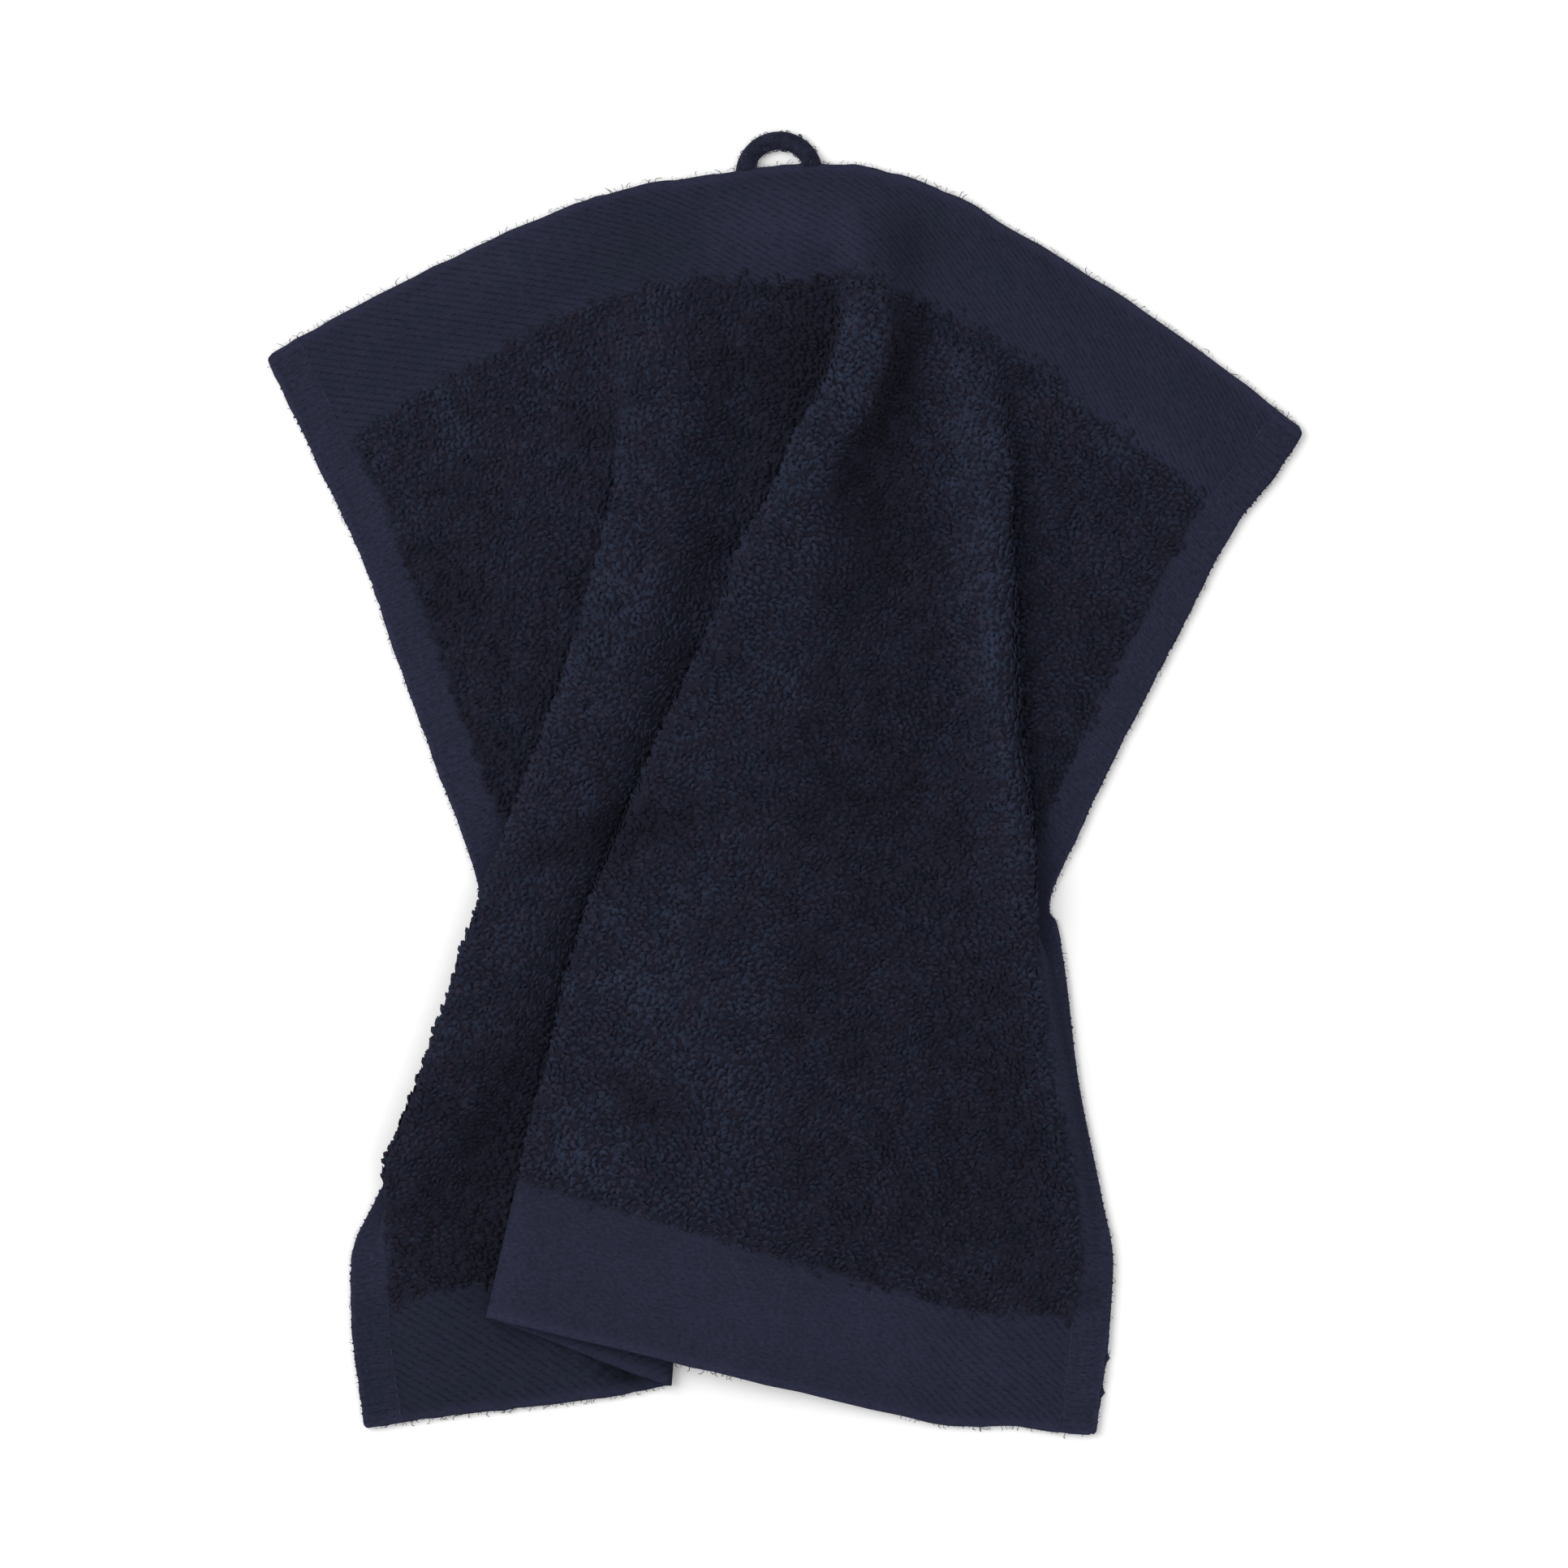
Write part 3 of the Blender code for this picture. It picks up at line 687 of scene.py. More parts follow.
class NodeBench:
    """A material's node tree, and the ways to add nodes to it."""
    specular: ClassVar[float] = 0.06
    sheen_roughness: ClassVar[float] = 0.5
    noise_roughness: ClassVar[float] = 0.55
    mix_colours: ClassVar[tuple[int, int]] = (6, 7)
    mix_result: ClassVar[int] = 2

    def __init__(self, name: str) -> None:
        """Start a material whose tree has only a Principled shader and its output.

        Args:
            name: The material's name.
        """
        self.material = bpy.data.materials.new(name)
        self.material.use_nodes = True
        self.tree = self.material.node_tree
        self.shader = self.tree.nodes["Principled BSDF"]

    def node(self, kind: str, settings: dict[str, Any], inputs: dict[Any, Any]) -> bpy.types.Node:
        """Add a node.

        Args:
            kind: The node's type.
            settings: Its own properties, which are set first.
            inputs: Values or links for its sockets, by name or number.

        Returns:
            The node.
        """
        node = self.tree.nodes.new(kind)
        for name, value in settings.items():
            setattr(node, name, value)
        for key, value in inputs.items():
            self.feed(node.inputs[key], value)
        return node

    def feed(self, socket: bpy.types.NodeSocket, value: Any) -> None:
        """Link a signal or a socket to a socket, or set the socket's own value.

        Args:
            socket: The socket that takes it.
            value: A signal, a socket or a plain value.
        """
        if isinstance(value, Signal):
            self.tree.links.new(value.socket, socket)
        elif isinstance(value, bpy.types.NodeSocket):
            self.tree.links.new(value, socket)
        else:
            socket.default_value = value

    def maths(self, operation: str, *values: Signal | float) -> Signal:
        """A Math node on signals or numbers."""
        node = self.node("ShaderNodeMath", {"operation": operation}, dict(enumerate(values)))
        return Signal(self, node.outputs[0])

    def places(self, uv_map: str) -> tuple[Signal, Signal]:
        """The two values of a UV map."""
        source = self.node("ShaderNodeUVMap", {"uv_map": uv_map}, {})
        split = self.node("ShaderNodeSeparateXYZ", {}, {"Vector": source.outputs["UV"]})
        return Signal(self, split.outputs["X"]), Signal(self, split.outputs["Y"])

    def point(self, x: Signal | float, y: Signal | float, z: Signal | float = 0.0) -> bpy.types.NodeSocket:
        """A vector of three signals."""
        return self.node("ShaderNodeCombineXYZ", {}, {"X": x, "Y": y, "Z": z}).outputs["Vector"]

    def solid_place(self) -> bpy.types.NodeSocket:
        """The place in the object's own space."""
        return self.node("ShaderNodeTexCoord", {}, {}).outputs["Object"]

    def noise(self, place: bpy.types.NodeSocket, scale: float, detail: float = 2.0) -> Signal:
        """Smooth noise from 0 to 1.

        Args:
            place: Where to read it.
            scale: How many cells it has to a unit of `place`.
            detail: How many finer layers it has.

        Returns:
            The noise.
        """
        node = self.node("ShaderNodeTexNoise", {}, {
            "Vector": place, "Scale": scale, "Detail": detail, "Roughness": self.noise_roughness,
        })
        return Signal(self, node.outputs["Fac"])

    def attribute(self, name: str) -> Signal:
        """A number that the mesh stores."""
        node = self.node("ShaderNodeAttribute", {"attribute_name": name}, {})
        return Signal(self, node.outputs["Fac"])

    def mixed(self, share: Signal, low: Any, high: Any) -> bpy.types.NodeSocket:
        """A colour between two colours.

        Args:
            share: How much of the second there is.
            low: The first colour, or a socket of it.
            high: The second.

        Returns:
            The mixed colour.
        """
        node = self.node("ShaderNodeMix", {"data_type": "RGBA"}, {"Factor": share})
        for number, colour in zip(self.mix_colours, (low, high)):
            self.feed(node.inputs[number], self.colour(colour))
        return node.outputs[self.mix_result]

    def shaded(self, colour: Any, amount: Signal) -> bpy.types.NodeSocket:
        """A colour times a number."""
        node = self.node("ShaderNodeVectorMath", {"operation": "SCALE"}, {"Scale": amount})
        self.feed(node.inputs[0], colour if isinstance(colour, bpy.types.NodeSocket) else tuple(colour))
        return node.outputs[0]

    @staticmethod
    def colour(value: Any) -> Any:
        """A colour as a colour socket takes it."""
        return value if isinstance(value, bpy.types.NodeSocket) else (*value, 1.0)

    def dress(
        self, base: Any, roughness: float, sheen: float, sheen_tint: tuple[float, float, float],
        height: Signal | None = None, depth: float = 0.0,
    ) -> bpy.types.Material:
        """Set the shader's own sockets.

        Args:
            base: Base colour, or a socket of it.
            roughness: Roughness all over.
            sheen: Strength of the fuzz's sheen.
            sheen_tint: Its colour.
            height: Relief from 0 to 1.
            depth: The relief's height in mm.

        Returns:
            The finished material.
        """
        self.feed(self.shader.inputs["Base Color"], self.colour(base))
        self.shader.inputs["Roughness"].default_value = roughness
        self.shader.inputs["Specular IOR Level"].default_value = self.specular
        self.shader.inputs["Sheen Weight"].default_value = sheen
        self.shader.inputs["Sheen Roughness"].default_value = self.sheen_roughness
        self.shader.inputs["Sheen Tint"].default_value = (*sheen_tint, 1.0)
        if height is not None:
            bump = self.node("ShaderNodeBump", {}, {"Strength": 1.0, "Distance": depth * MM, "Height": height})
            self.feed(self.shader.inputs["Normal"], bump.outputs["Normal"])
        return self.material


class Dye(Enum):
    """The navy of each yarn, linear, and darker copies of it that paint shade."""
    BAND = (0.0140, 0.0149, 0.0295)
    # Shaded copy of the band navy, greener, for painted shade and darker weave alike.
    BAND_SHADE = (0.0126, 0.0150, 0.0272)
    # Painted shade: the ground under the pile, darker than the band, stands for the shade among the loops.
    GROUND = (0.0095, 0.0100, 0.0180)
    # Painted shade: the loops' roots, darker, as deep in the pile.
    PILE_ROOT = (0.0140, 0.0142, 0.0262)
    # Tips: blue where the pile takes painted light, plum where it takes painted shade, and mixed at random as
    # well.
    PILE_BLUE = (0.0145, 0.0201, 0.0372)
    PILE_PLUM = (0.0193, 0.0176, 0.0320)
    CORD = (0.0142, 0.0154, 0.0285)
    YARN = (0.0170, 0.0185, 0.0350)
    YARN_TIP = (0.0260, 0.0290, 0.0560)
    SHEEN = (0.30, 0.32, 0.50)


class Weave(NamedTuple):
    """A place in the weave, `u` mm across the cloth and `v` mm down it, and how uneven the yarns are there."""
    bench: NodeBench
    u: Signal
    v: Signal
    place: bpy.types.NodeSocket
    fuzz: Signal
    grain: Signal

    @classmethod
    def of(cls, bench: NodeBench) -> "Weave":
        """Read the place from the "Fabric" map.

        Args:
            bench: The material's nodes.

        Returns:
            The place.
        """
        u, v = bench.places("Fabric")
        place = bench.point(u, v)
        fuzz = bench.noise(place, 2.6, 4.0) - 0.5
        grain = bench.noise(bench.point(u * 0.7, v * 1.3), 1.1, 3.0) - 0.5
        return cls(bench, u, v, place, fuzz, grain)

    def noise(self, scale: float, detail: float = 2.0, across: float = 1.0, down: float = 1.0) -> Signal:
        """Smooth noise over the cloth.

        Args:
            scale: Cells to a mm.
            detail: How many finer layers it has.
            across: How much finer it is across the cloth.
            down: How much finer it is down it.

        Returns:
            The noise, from 0 to 1.
        """
        even = across == 1.0 and down == 1.0
        place = self.place if even else self.bench.point(self.u * across, self.v * down)
        return self.bench.noise(place, scale, detail)


@dataclass(frozen=True)
class WovenFinish:
    """The sheet itself: twill in the bands, plain ribbed hems down the sides, bare ground under the pile."""
    rib: float = 1.8
    rib_slant: float = math.radians(39.0)
    float_length: float = 1.75
    float_shift: float = 0.41
    hem_rib: float = 2.05
    hem: float = 9.6
    band: float = 30.0
    relief: float = 0.11
    foot: tuple[float, float] = (262.0, 270.0)
    front: tuple[float, float] = (112.0, 124.0)
    front_ribs: tuple[float, float] = (226.0, 250.0)
    worn: float = 0.8
    # Painted shade on the lower layer at the bottom end, beneath the fold.
    hidden_shade: float = 0.13

    def twill(self, weave: Weave, worn: Signal, fuzzy_edge_and_rim_light: Signal) -> tuple[Signal, Signal]:
        """Slanting ribs, broken into floats.

        Args:
            weave: The place in the cloth.
            worn: How far the ribs are worn off.
            fuzzy_edge_and_rim_light: How near a fuzzy edge is.

        Returns:
            The relief and the shade.
        """
        u, v, fuzz, grain = weave.u, weave.v, weave.fuzz, weave.grain
        wobble = (weave.noise(0.35) - 0.5) * 0.8
        beside = v * math.cos(self.rib_slant) - u * math.sin(self.rib_slant) + wobble
        along = u * math.cos(self.rib_slant) + v * math.sin(self.rib_slant)
        count = beside / self.rib
        groove = ((count.part() - 0.5).size() * 2.0).rise(0.42, 0.98)
        step = (along / self.float_length + count.whole() * self.float_shift).part()
        dash = step.rise(0.05, 0.3) * (1.0 - step.rise(0.72, 0.97))
        faded = (1.0 - worn) * (1.0 - 0.75 * fuzzy_edge_and_rim_light)
        cut = groove * faded * weave.noise(0.45, 3.0).rise(0.28, 0.62)
        pick = weave.noise(1.7, across=0.8, down=1.6)
        height = 1.0 - cut * (0.30 + 0.70 * dash) + fuzz * 0.6 + grain * 1.2
        shade = 1.05 - cut * (0.10 + 0.30 * dash) + fuzz * 0.5 + grain * (0.8 + 0.5 * worn)
        return height, shade - pick.rise(0.64, 0.74) * 0.3 + (1.0 - pick).rise(0.66, 0.76) * 0.3

    def plain_hem(self, weave: Weave) -> tuple[Signal, Signal]:
        """Low ribs straight across the hem.

        Args:
            weave: The place in the cloth.

        Returns:
            The relief and the shade.
        """
        rung = (weave.v / self.hem_rib + (weave.noise(0.5) - 0.5) * 0.7).part()
        gap = 1.0 - ((rung - 0.5).size() * 2.0).rise(0.0, 0.35)
        broken = weave.noise(0.8, 3.0, 0.9, 2.2).rise(0.42, 0.62)
        streak = weave.noise(0.9, 4.0, 0.7, 2.6).rise(0.54, 0.72)
        height = 1.0 - gap * broken * 0.8 + weave.fuzz * 0.5 + weave.grain * 0.7
        return height, 1.06 - gap * broken * 0.24 + streak * 0.5 + weave.fuzz * 0.6 + weave.grain * 1.3

    def flat(self, weave: Weave, side: Signal, end: Signal) -> Signal:
        """Where there is no pile.

        Args:
            weave: The place in the cloth.
            side: Distance from the nearer selvedge, in mm.
            end: Distance from the nearer end, in mm.

        Returns:
            1 in the bands and hems, and 0 under the pile.
        """
        uneven = 1.2 * (weave.noise(0.3) - 0.5)
        pile_side = 1.0 - (side + uneven).rise(self.hem + 0.6, self.hem + 2.4)
        pile_end = 1.0 - (end + uneven).rise(self.band + 0.4, self.band + 2.4)
        return weave.bench.maths("MAXIMUM", pile_side, pile_end)

    def material(self) -> bpy.types.Material:
        """Make the material.

        Returns:
            The material, which reads the "Fabric" and "Edges" maps and `painted_light_and_shade` from the mesh.
        """
        bench = NodeBench("navy_weave")
        weave = Weave.of(bench)
        side, end = bench.places("Edges")
        foot, front = weave.v.rise(*self.foot), weave.u.rise(*self.front)
        worn = foot * front * (1.0 - weave.u.rise(*self.front_ribs)) * self.worn
        # How near a fuzzy edge is: the ribs fade there, and it also sets a painted highlight along the edge.
        fuzzy_edge_and_rim_light = 1.0 - (bench.maths("MINIMUM", side * 2.0, end) + weave.grain * 2.5).rise(0.9, 3.4)
        twill_height, twill_shade = self.twill(weave, worn, fuzzy_edge_and_rim_light)
        hem_height, hem_shade = self.plain_hem(weave)
        in_hem = 1.0 - side.rise(self.hem - 0.4, self.hem + 0.4)
        height = twill_height + (hem_height - twill_height) * in_hem
        patches = weave.noise(0.05) * 0.16 + 0.92
        mottle = 1.0 + (weave.noise(0.22, 3.0) - 0.5) * 0.3
        # Painted light and shade of the folds, and painted shade on the lower layer under the bottom fold.
        painted_light_and_shade = bench.attribute("painted_light_and_shade") - foot * (1.0 - front) * self.hidden_shade
        shade = (twill_shade + (hem_shade - twill_shade) * in_hem) * patches * mottle
        # Painted highlight along the fuzzy edges, and the painted light and shade of the folds.
        shade = shade * (1.0 + 0.24 * fuzzy_edge_and_rim_light + painted_light_and_shade)
        # Painted shade hue: darker places, in the weave and in the painted shade alike, take the greener shaded
        # navy.
        tone = (shade + (weave.noise(0.11) - 0.5) * 0.5).rise(0.8, 1.15)
        woven = bench.shaded(bench.mixed(tone, Dye.BAND_SHADE.value, Dye.BAND.value), shade)
        # Painted shade: the bare ground between the loops is coloured darker than the band.
        ground = bench.shaded(Dye.GROUND.value, weave.noise(0.8) + 0.5)
        flat = self.flat(weave, side, end)
        return bench.dress(
            bench.mixed(flat, ground, woven), 0.9, 0.04, Dye.SHEEN.value, height * flat, self.relief
        )


@dataclass(frozen=True)
class PileFinish:
    """The cotton yarn of the terry loops: painted shade darkens it towards the root; lighter and uneven along
    the top.
    """
    speckles_a_metre: float = 2600.0

    def material(self) -> bpy.types.Material:
        """Make the material.

        Returns:
            The material, which reads `height`, `shade` and `cast` from the mesh.
        """
        bench = NodeBench("navy_pile")
        height, shade = bench.attribute("height"), bench.attribute("shade")
        speckle = bench.noise(bench.solid_place(), self.speckles_a_metre)
        tip = bench.mixed(bench.attribute("cast"), Dye.PILE_PLUM.value, Dye.PILE_BLUE.value)
        # Painted shade: each loop darker towards its root, deep in the pile.
        colour = bench.mixed(height.rise(0.0, 0.9), Dye.PILE_ROOT.value, tip)
        return bench.dress(bench.shaded(colour, shade * (0.86 + 0.28 * speckle)), 0.85, 0.03, Dye.SHEEN.value)


@dataclass(frozen=True)
class CordFinish:
    """The hanging loop's cord: fine slanting yarns round it and a fuzzy face."""
    yarn: float = 0.9
    yarn_slant: float = 0.8
    relief: float = 0.22

    def material(self) -> bpy.types.Material:
        """Make the material.

        Returns:
            The material, which reads the "Cord" map.
        """
        bench = NodeBench("navy_cord_yarn")
        around, along = bench.places("Cord")
        slant = ((along + around * self.yarn_slant) / self.yarn).part()
        yarn = 1.0 - (slant - 0.5).size() * 2.0
        place = bench.point(around, along)
        fuzz, mottle = bench.noise(place, 2.4, 4.0), bench.noise(place, 0.35)
        shade = 0.88 + 0.16 * yarn + (fuzz - 0.5) * 0.9 + (mottle - 0.5) * 2.0
        height = yarn * 0.7 + fuzz * 0.5
        return bench.dress(
            bench.shaded(Dye.CORD.value, shade), 0.9, 0.05, Dye.SHEEN.value, height, self.relief
        )


@dataclass(frozen=True)
class ThreadFinish:
    """Sewing thread and loose ends of yarn."""
    twists_a_metre: float = 1800.0

    def material(self) -> bpy.types.Material:
        """Make the material.

        Returns:
            The material, which reads `shade` and `cast` from the mesh.
        """
        bench = NodeBench("navy_thread")
        twist = bench.noise(bench.solid_place(), self.twists_a_metre)
        colour = bench.mixed(bench.attribute("cast"), Dye.YARN.value, Dye.YARN_TIP.value)
        shade = bench.attribute("shade") * (0.75 + 0.5 * twist)
        return bench.dress(bench.shaded(colour, shade), 0.85, 0.04, Dye.SHEEN.value)


@dataclass(frozen=True)
class FloorFinish:
    """A pale floor with a faint unevenness."""
    colour: tuple[float, float, float] = (0.86, 0.86, 0.86)
    clouds_a_metre: float = 3.0

    def material(self) -> bpy.types.Material:
        """Make the material."""
        bench = NodeBench("pale_floor")
        cloud = bench.noise(bench.solid_place(), self.clouds_a_metre)
        return bench.dress(bench.shaded(self.colour, 0.99 + 0.02 * cloud), 0.8, 0.0, (1.0, 1.0, 1.0))


# --- mesh help ------------------------------------------------------------------------------------------------
class Shape(NamedTuple):
    """A small mesh to be repeated: its points in mm, its four-sided faces and a value for each point."""
    points: np.ndarray
    faces: np.ndarray
    height: np.ndarray

    @classmethod
    def of(cls, bm: bmesh.types.BMesh, height: np.ndarray | None = None) -> "Shape":
        """Take the points and faces of a bmesh, and free it.

        Args:
            bm: The bmesh.
            height: A value for each point, or none for 1 everywhere.

        Returns:
            The shape.
        """
        bm.verts.index_update()
        points = np.array([vertex.co for vertex in bm.verts])
        faces = np.array([[vertex.index for vertex in face.verts] for face in bm.faces])
        bm.free()
        return cls(points, faces, np.ones(len(points)) if height is None else height)


def show(name: str, mesh: bpy.types.Mesh, material: bpy.types.Material) -> bpy.types.Object:
    """Make an object of a mesh, and let it ride with the cloth.

    Args:
        name: The piece's name.
        mesh: Its mesh, in metres.
        material: Its finish.

    Returns:
        The object.
    """
    mesh.materials.append(material)
    piece = bpy.data.objects.new(name, mesh)
    bpy.context.scene.collection.objects.link(piece)
    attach(piece, "root")
    return piece


@dataclass
class Placements:
    """Where copies of small shapes go: a root, three axes and a few values for each copy."""
    root: np.ndarray
    x_axis: np.ndarray
    y_axis: np.ndarray
    z_axis: np.ndarray
    shade: np.ndarray
    cast: np.ndarray
    kind: np.ndarray
    floor_gap: ClassVar[float] = 0.02

    def __len__(self) -> int:
        """The number of copies."""
        return len(self.root)

    @classmethod
    def joined(cls, groups: list["Placements"]) -> "Placements":
        """The copies of several groups, one after another."""
        return cls(*(np.concatenate([getattr(group, field.name) for group in groups]) for field in fields(cls)))

    def only(self, which: np.ndarray) -> "Placements":
        """The copies that a mask or a slice picks."""
        return Placements(*(getattr(self, field.name)[which] for field in fields(self)))

    def mesh(self, name: str, shapes: list[Shape]) -> bpy.types.Mesh:
        """Join the copies to one mesh, each with its own cell of the bake map.

        Args:
            name: The mesh's name.
            shapes: The shapes that `kind` chooses among, all with the same faces.

        Returns:
            The mesh, in metres, with `height`, `shade` and `cast` on its points.
        """
        local = np.stack([shape.points for shape in shapes])[self.kind]
        heights = np.stack([shape.height for shape in shapes])[self.kind]
        axes = np.stack((self.x_axis, self.y_axis, self.z_axis), axis=1)
        points = self.root[:, None, :] + np.einsum("npk,nkj->npj", local, axes)
        points[..., 2] = np.maximum(points[..., 2], self.floor_gap)
        count = local.shape[1]
        faces = (shapes[0].faces[None] + (np.arange(len(self)) * count)[:, None, None]).reshape(-1, 4)
        mesh = bpy.data.meshes.new(name)
        mesh.vertices.add(points.shape[0] * count)
        mesh.vertices.foreach_set("co", (points * MM).astype(np.float32).ravel())
        mesh.loops.add(faces.size)
        mesh.loops.foreach_set("vertex_index", faces.astype(np.int32).ravel())
        mesh.polygons.add(len(faces))
        mesh.polygons.foreach_set("loop_start", np.arange(len(faces), dtype=np.int32) * 4)
        mesh.update(calc_edges=True)
        for title, values in (
            ("height", heights), ("shade", np.repeat(self.shade, count)), ("cast", np.repeat(self.cast, count))
        ):
            mesh.attributes.new(title, "FLOAT", "POINT").data.foreach_set(
                "value", values.astype(np.float32).ravel()
            )
        side = math.ceil(math.sqrt(len(self)))
        cell = np.stack((np.arange(len(self)) % side, np.arange(len(self)) // side), axis=1)
        low, high = local.min(axis=(0, 1)), local.max(axis=(0, 1))
        inside = 0.1 + 0.8 * ((local - low) / (high - low))[:, :, (0, 2)]
        places = ((cell[:, None, :] + inside) / side).reshape(-1, 2)[faces.ravel()]
        mesh.uv_layers.new(name="OFBake").data.foreach_set("uv", places.astype(np.float32).ravel())
        mesh.shade_smooth()
        return mesh


# --- the sheet ------------------------------------------------------------------------------------------------
@dataclass
class ClothSheet:
    """The woven sheet: ground under the pile, twill bands at both ends and hems down both sides."""
    lay: Lay
    rows: int = 150
    finer: int = 3
    ground_thickness: float = 1.0
    band_thickness: float = 1.5
    hem_thickness: float = 1.8
    band_step: float = 2.0
    hem_step: float = 1.2
    corner: float = 1.4
    wave: SoftNoise = SoftNoise(3.0, 21, 0.22)
    wave_reach: float = 3.0
    extra_rows: tuple[float, ...] = (0.5, 1.0, 3.0)

    def outline(self, sheet: Sheet) -> np.ndarray:
        """Round the sheet's corners and make its edges a little uneven.

        Args:
            sheet: The sheet.

        Returns:
            Its points, moved along its own surface.
        """
        across, down, _ = sheet.frames()
        inner = 1.0 - np.clip(np.stack((sheet.from_side, sheet.from_end)) / self.corner, 0.0, 1.0)
        round_off = inner - inner * np.sqrt(1.0 - inner[::-1]**2 / 2.0)
        from_left = np.where(sheet.across <= sheet.from_side + 1e-6, 1.0, -1.0)
        from_top = np.where(sheet.down < self.lay.length / 2, 1.0, -1.0)
        edge = np.clip(1.0 - np.minimum(sheet.from_side, sheet.from_end) / self.wave_reach, 0.0, 1.0)
        sway = edge * self.wave.at(sheet.across * (1.0 - inner[0]), sheet.down)
        inward = from_left * (round_off[0] * self.corner + sway * inner[0])
        downward = from_top * (round_off[1] * self.corner + sway * inner[1])
        return sheet.points + across * inward[..., None] + down * downward[..., None]

    def thickness(self, sheet: Sheet) -> np.ndarray:
        """The sheet's own thickness, without pile.

        Args:
            sheet: The sheet.

        Returns:
            The thickness at each of its points, in mm.
        """
        to_band = smooth_step((sheet.from_end - self.lay.band) / self.band_step)
        inner = self.band_thickness + (self.ground_thickness - self.band_thickness) * to_band
        to_inner = smooth_step((sheet.from_side - self.lay.side_hem + self.hem_step / 2) / self.hem_step)
        return self.hem_thickness + (inner - self.hem_thickness) * to_inner

    def mesh(self, sheet: Sheet) -> bpy.types.Mesh:
        """Lay a grid along the sheet.

        Args:
            sheet: The sheet.

        Returns:
            The mesh, with where each point is in the cloth.
        """
        rows, columns = sheet.across.shape
        bm = bmesh.new()
        bmesh.ops.create_grid(bm, x_segments=columns - 1, y_segments=rows - 1, size=1.0)
        bm.verts.ensure_lookup_table()
        for vertex, point in zip(bm.verts, self.outline(sheet)[::-1].reshape(-1, 3)):
            vertex.co = point * MM
        mesh = bpy.data.meshes.new("terry_sheet")
        bm.to_mesh(mesh)
        bm.free()
        corners = np.empty(len(mesh.loops), dtype=np.int32)
        mesh.loops.foreach_get("vertex_index", corners)
        for title, one, two in (
            ("Fabric", sheet.across, sheet.down), ("Edges", sheet.from_side, sheet.from_end)
        ):
            values = np.stack((one[::-1].ravel(), two[::-1].ravel()), axis=1)[corners]
            mesh.uv_layers.new(name=title).data.foreach_set("uv", values.astype(np.float32).ravel())
        mesh.attributes.new("painted_light_and_shade", "FLOAT", "POINT").data.foreach_set(
            "value", sheet.painted_light_and_shade[::-1].astype(np.float32).ravel()
        )
        mesh.shade_smooth()
        return mesh

    def build(self) -> bpy.types.Object:
        """Build the sheet and give it its thickness.

        Returns:
            The sheet, in place of the plain solid.
        """
        ends = np.array(self.extra_rows)
        down = np.concatenate((np.linspace(0.0, self.lay.length, self.rows + 1), ends, self.lay.length - ends))
        sheet = self.lay.sheet(np.sort(down), self.finer)
        piece = show("terry_sheet", self.mesh(sheet), WovenFinish().material())
        group = piece.vertex_groups.new(name="thickness")
        for index, value in enumerate((self.thickness(sheet) / self.hem_thickness)[::-1].ravel()):
            group.add((index,), float(value), "REPLACE")
        solidify = piece.modifiers.new("thickness", "SOLIDIFY")
        solidify.thickness = self.hem_thickness * MM
        solidify.offset = 0.0
        solidify.vertex_group = group.name
        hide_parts("washcloth")
        return piece


# --- the pile -------------------------------------------------------------------------------------------------
FIBRE_BENDS = ((0.2, 0.5), (0.9, -0.4), (-0.8, 0.7))
STRAIGHT = ((0.0, 0.0),) * len(FIBRE_BENDS)


@dataclass(frozen=True)
class Yarn:
    """A short length of yarn, bent to an arch that leans and curls."""
    thick: float = 0.92
    span: float = 1.50
    height: float = 1.45
    steps: int = 4
    sides: int = 4
    arch: float = math.radians(200.0)
    lean_drop: float = 0.35

    def shape(self, lean: float, curl: float) -> Shape:
        """Spin the yarn into an arch, and bend it.

        Args:
            lean: How far the arch's top lies over, as a share of its height.
            curl: How far its two legs turn opposite ways, as a share of its span.

        Returns:
            The yarn, standing on its root at the origin.
        """
        bm = bmesh.new()
        bmesh.ops.create_circle(
            bm, segments=self.sides, radius=self.thick / 2, cap_ends=False,
            matrix=Matrix.Translation((self.span / 2, 0.0, 0.0)),
        )
        first = Matrix.Rotation((self.arch - math.pi) / 2, 3, "Y")
        bmesh.ops.rotate(bm, verts=bm.verts[:], matrix=first)
        bmesh.ops.spin(
            bm, geom=bm.verts[:] + bm.edges[:], cent=(0.0, 0.0, 0.0), axis=(0.0, -1.0, 0.0),
            angle=self.arch, steps=self.steps,
        )
        bmesh.ops.recalc_face_normals(bm, faces=bm.faces[:])
        stretch = self.height / (self.span / 2 + self.thick / 2)
        shares = []
        for vertex in bm.verts:
            up = vertex.co.z * stretch
            share = up / self.height
            shares.append(share)
            beside = lean * max(up, 0.0) + curl * vertex.co.x * share
            vertex.co = (vertex.co.x, vertex.co.y + beside, up * (1.0 - self.lean_drop * abs(lean)))
        return Shape.of(bm, np.clip(np.array(shares), 0.0, 1.0))

    def shapes(self, bends: tuple[tuple[float, float], ...]) -> list[Shape]:
        """The yarn at each lean and curl."""
        return [self.shape(lean, curl) for lean, curl in bends]


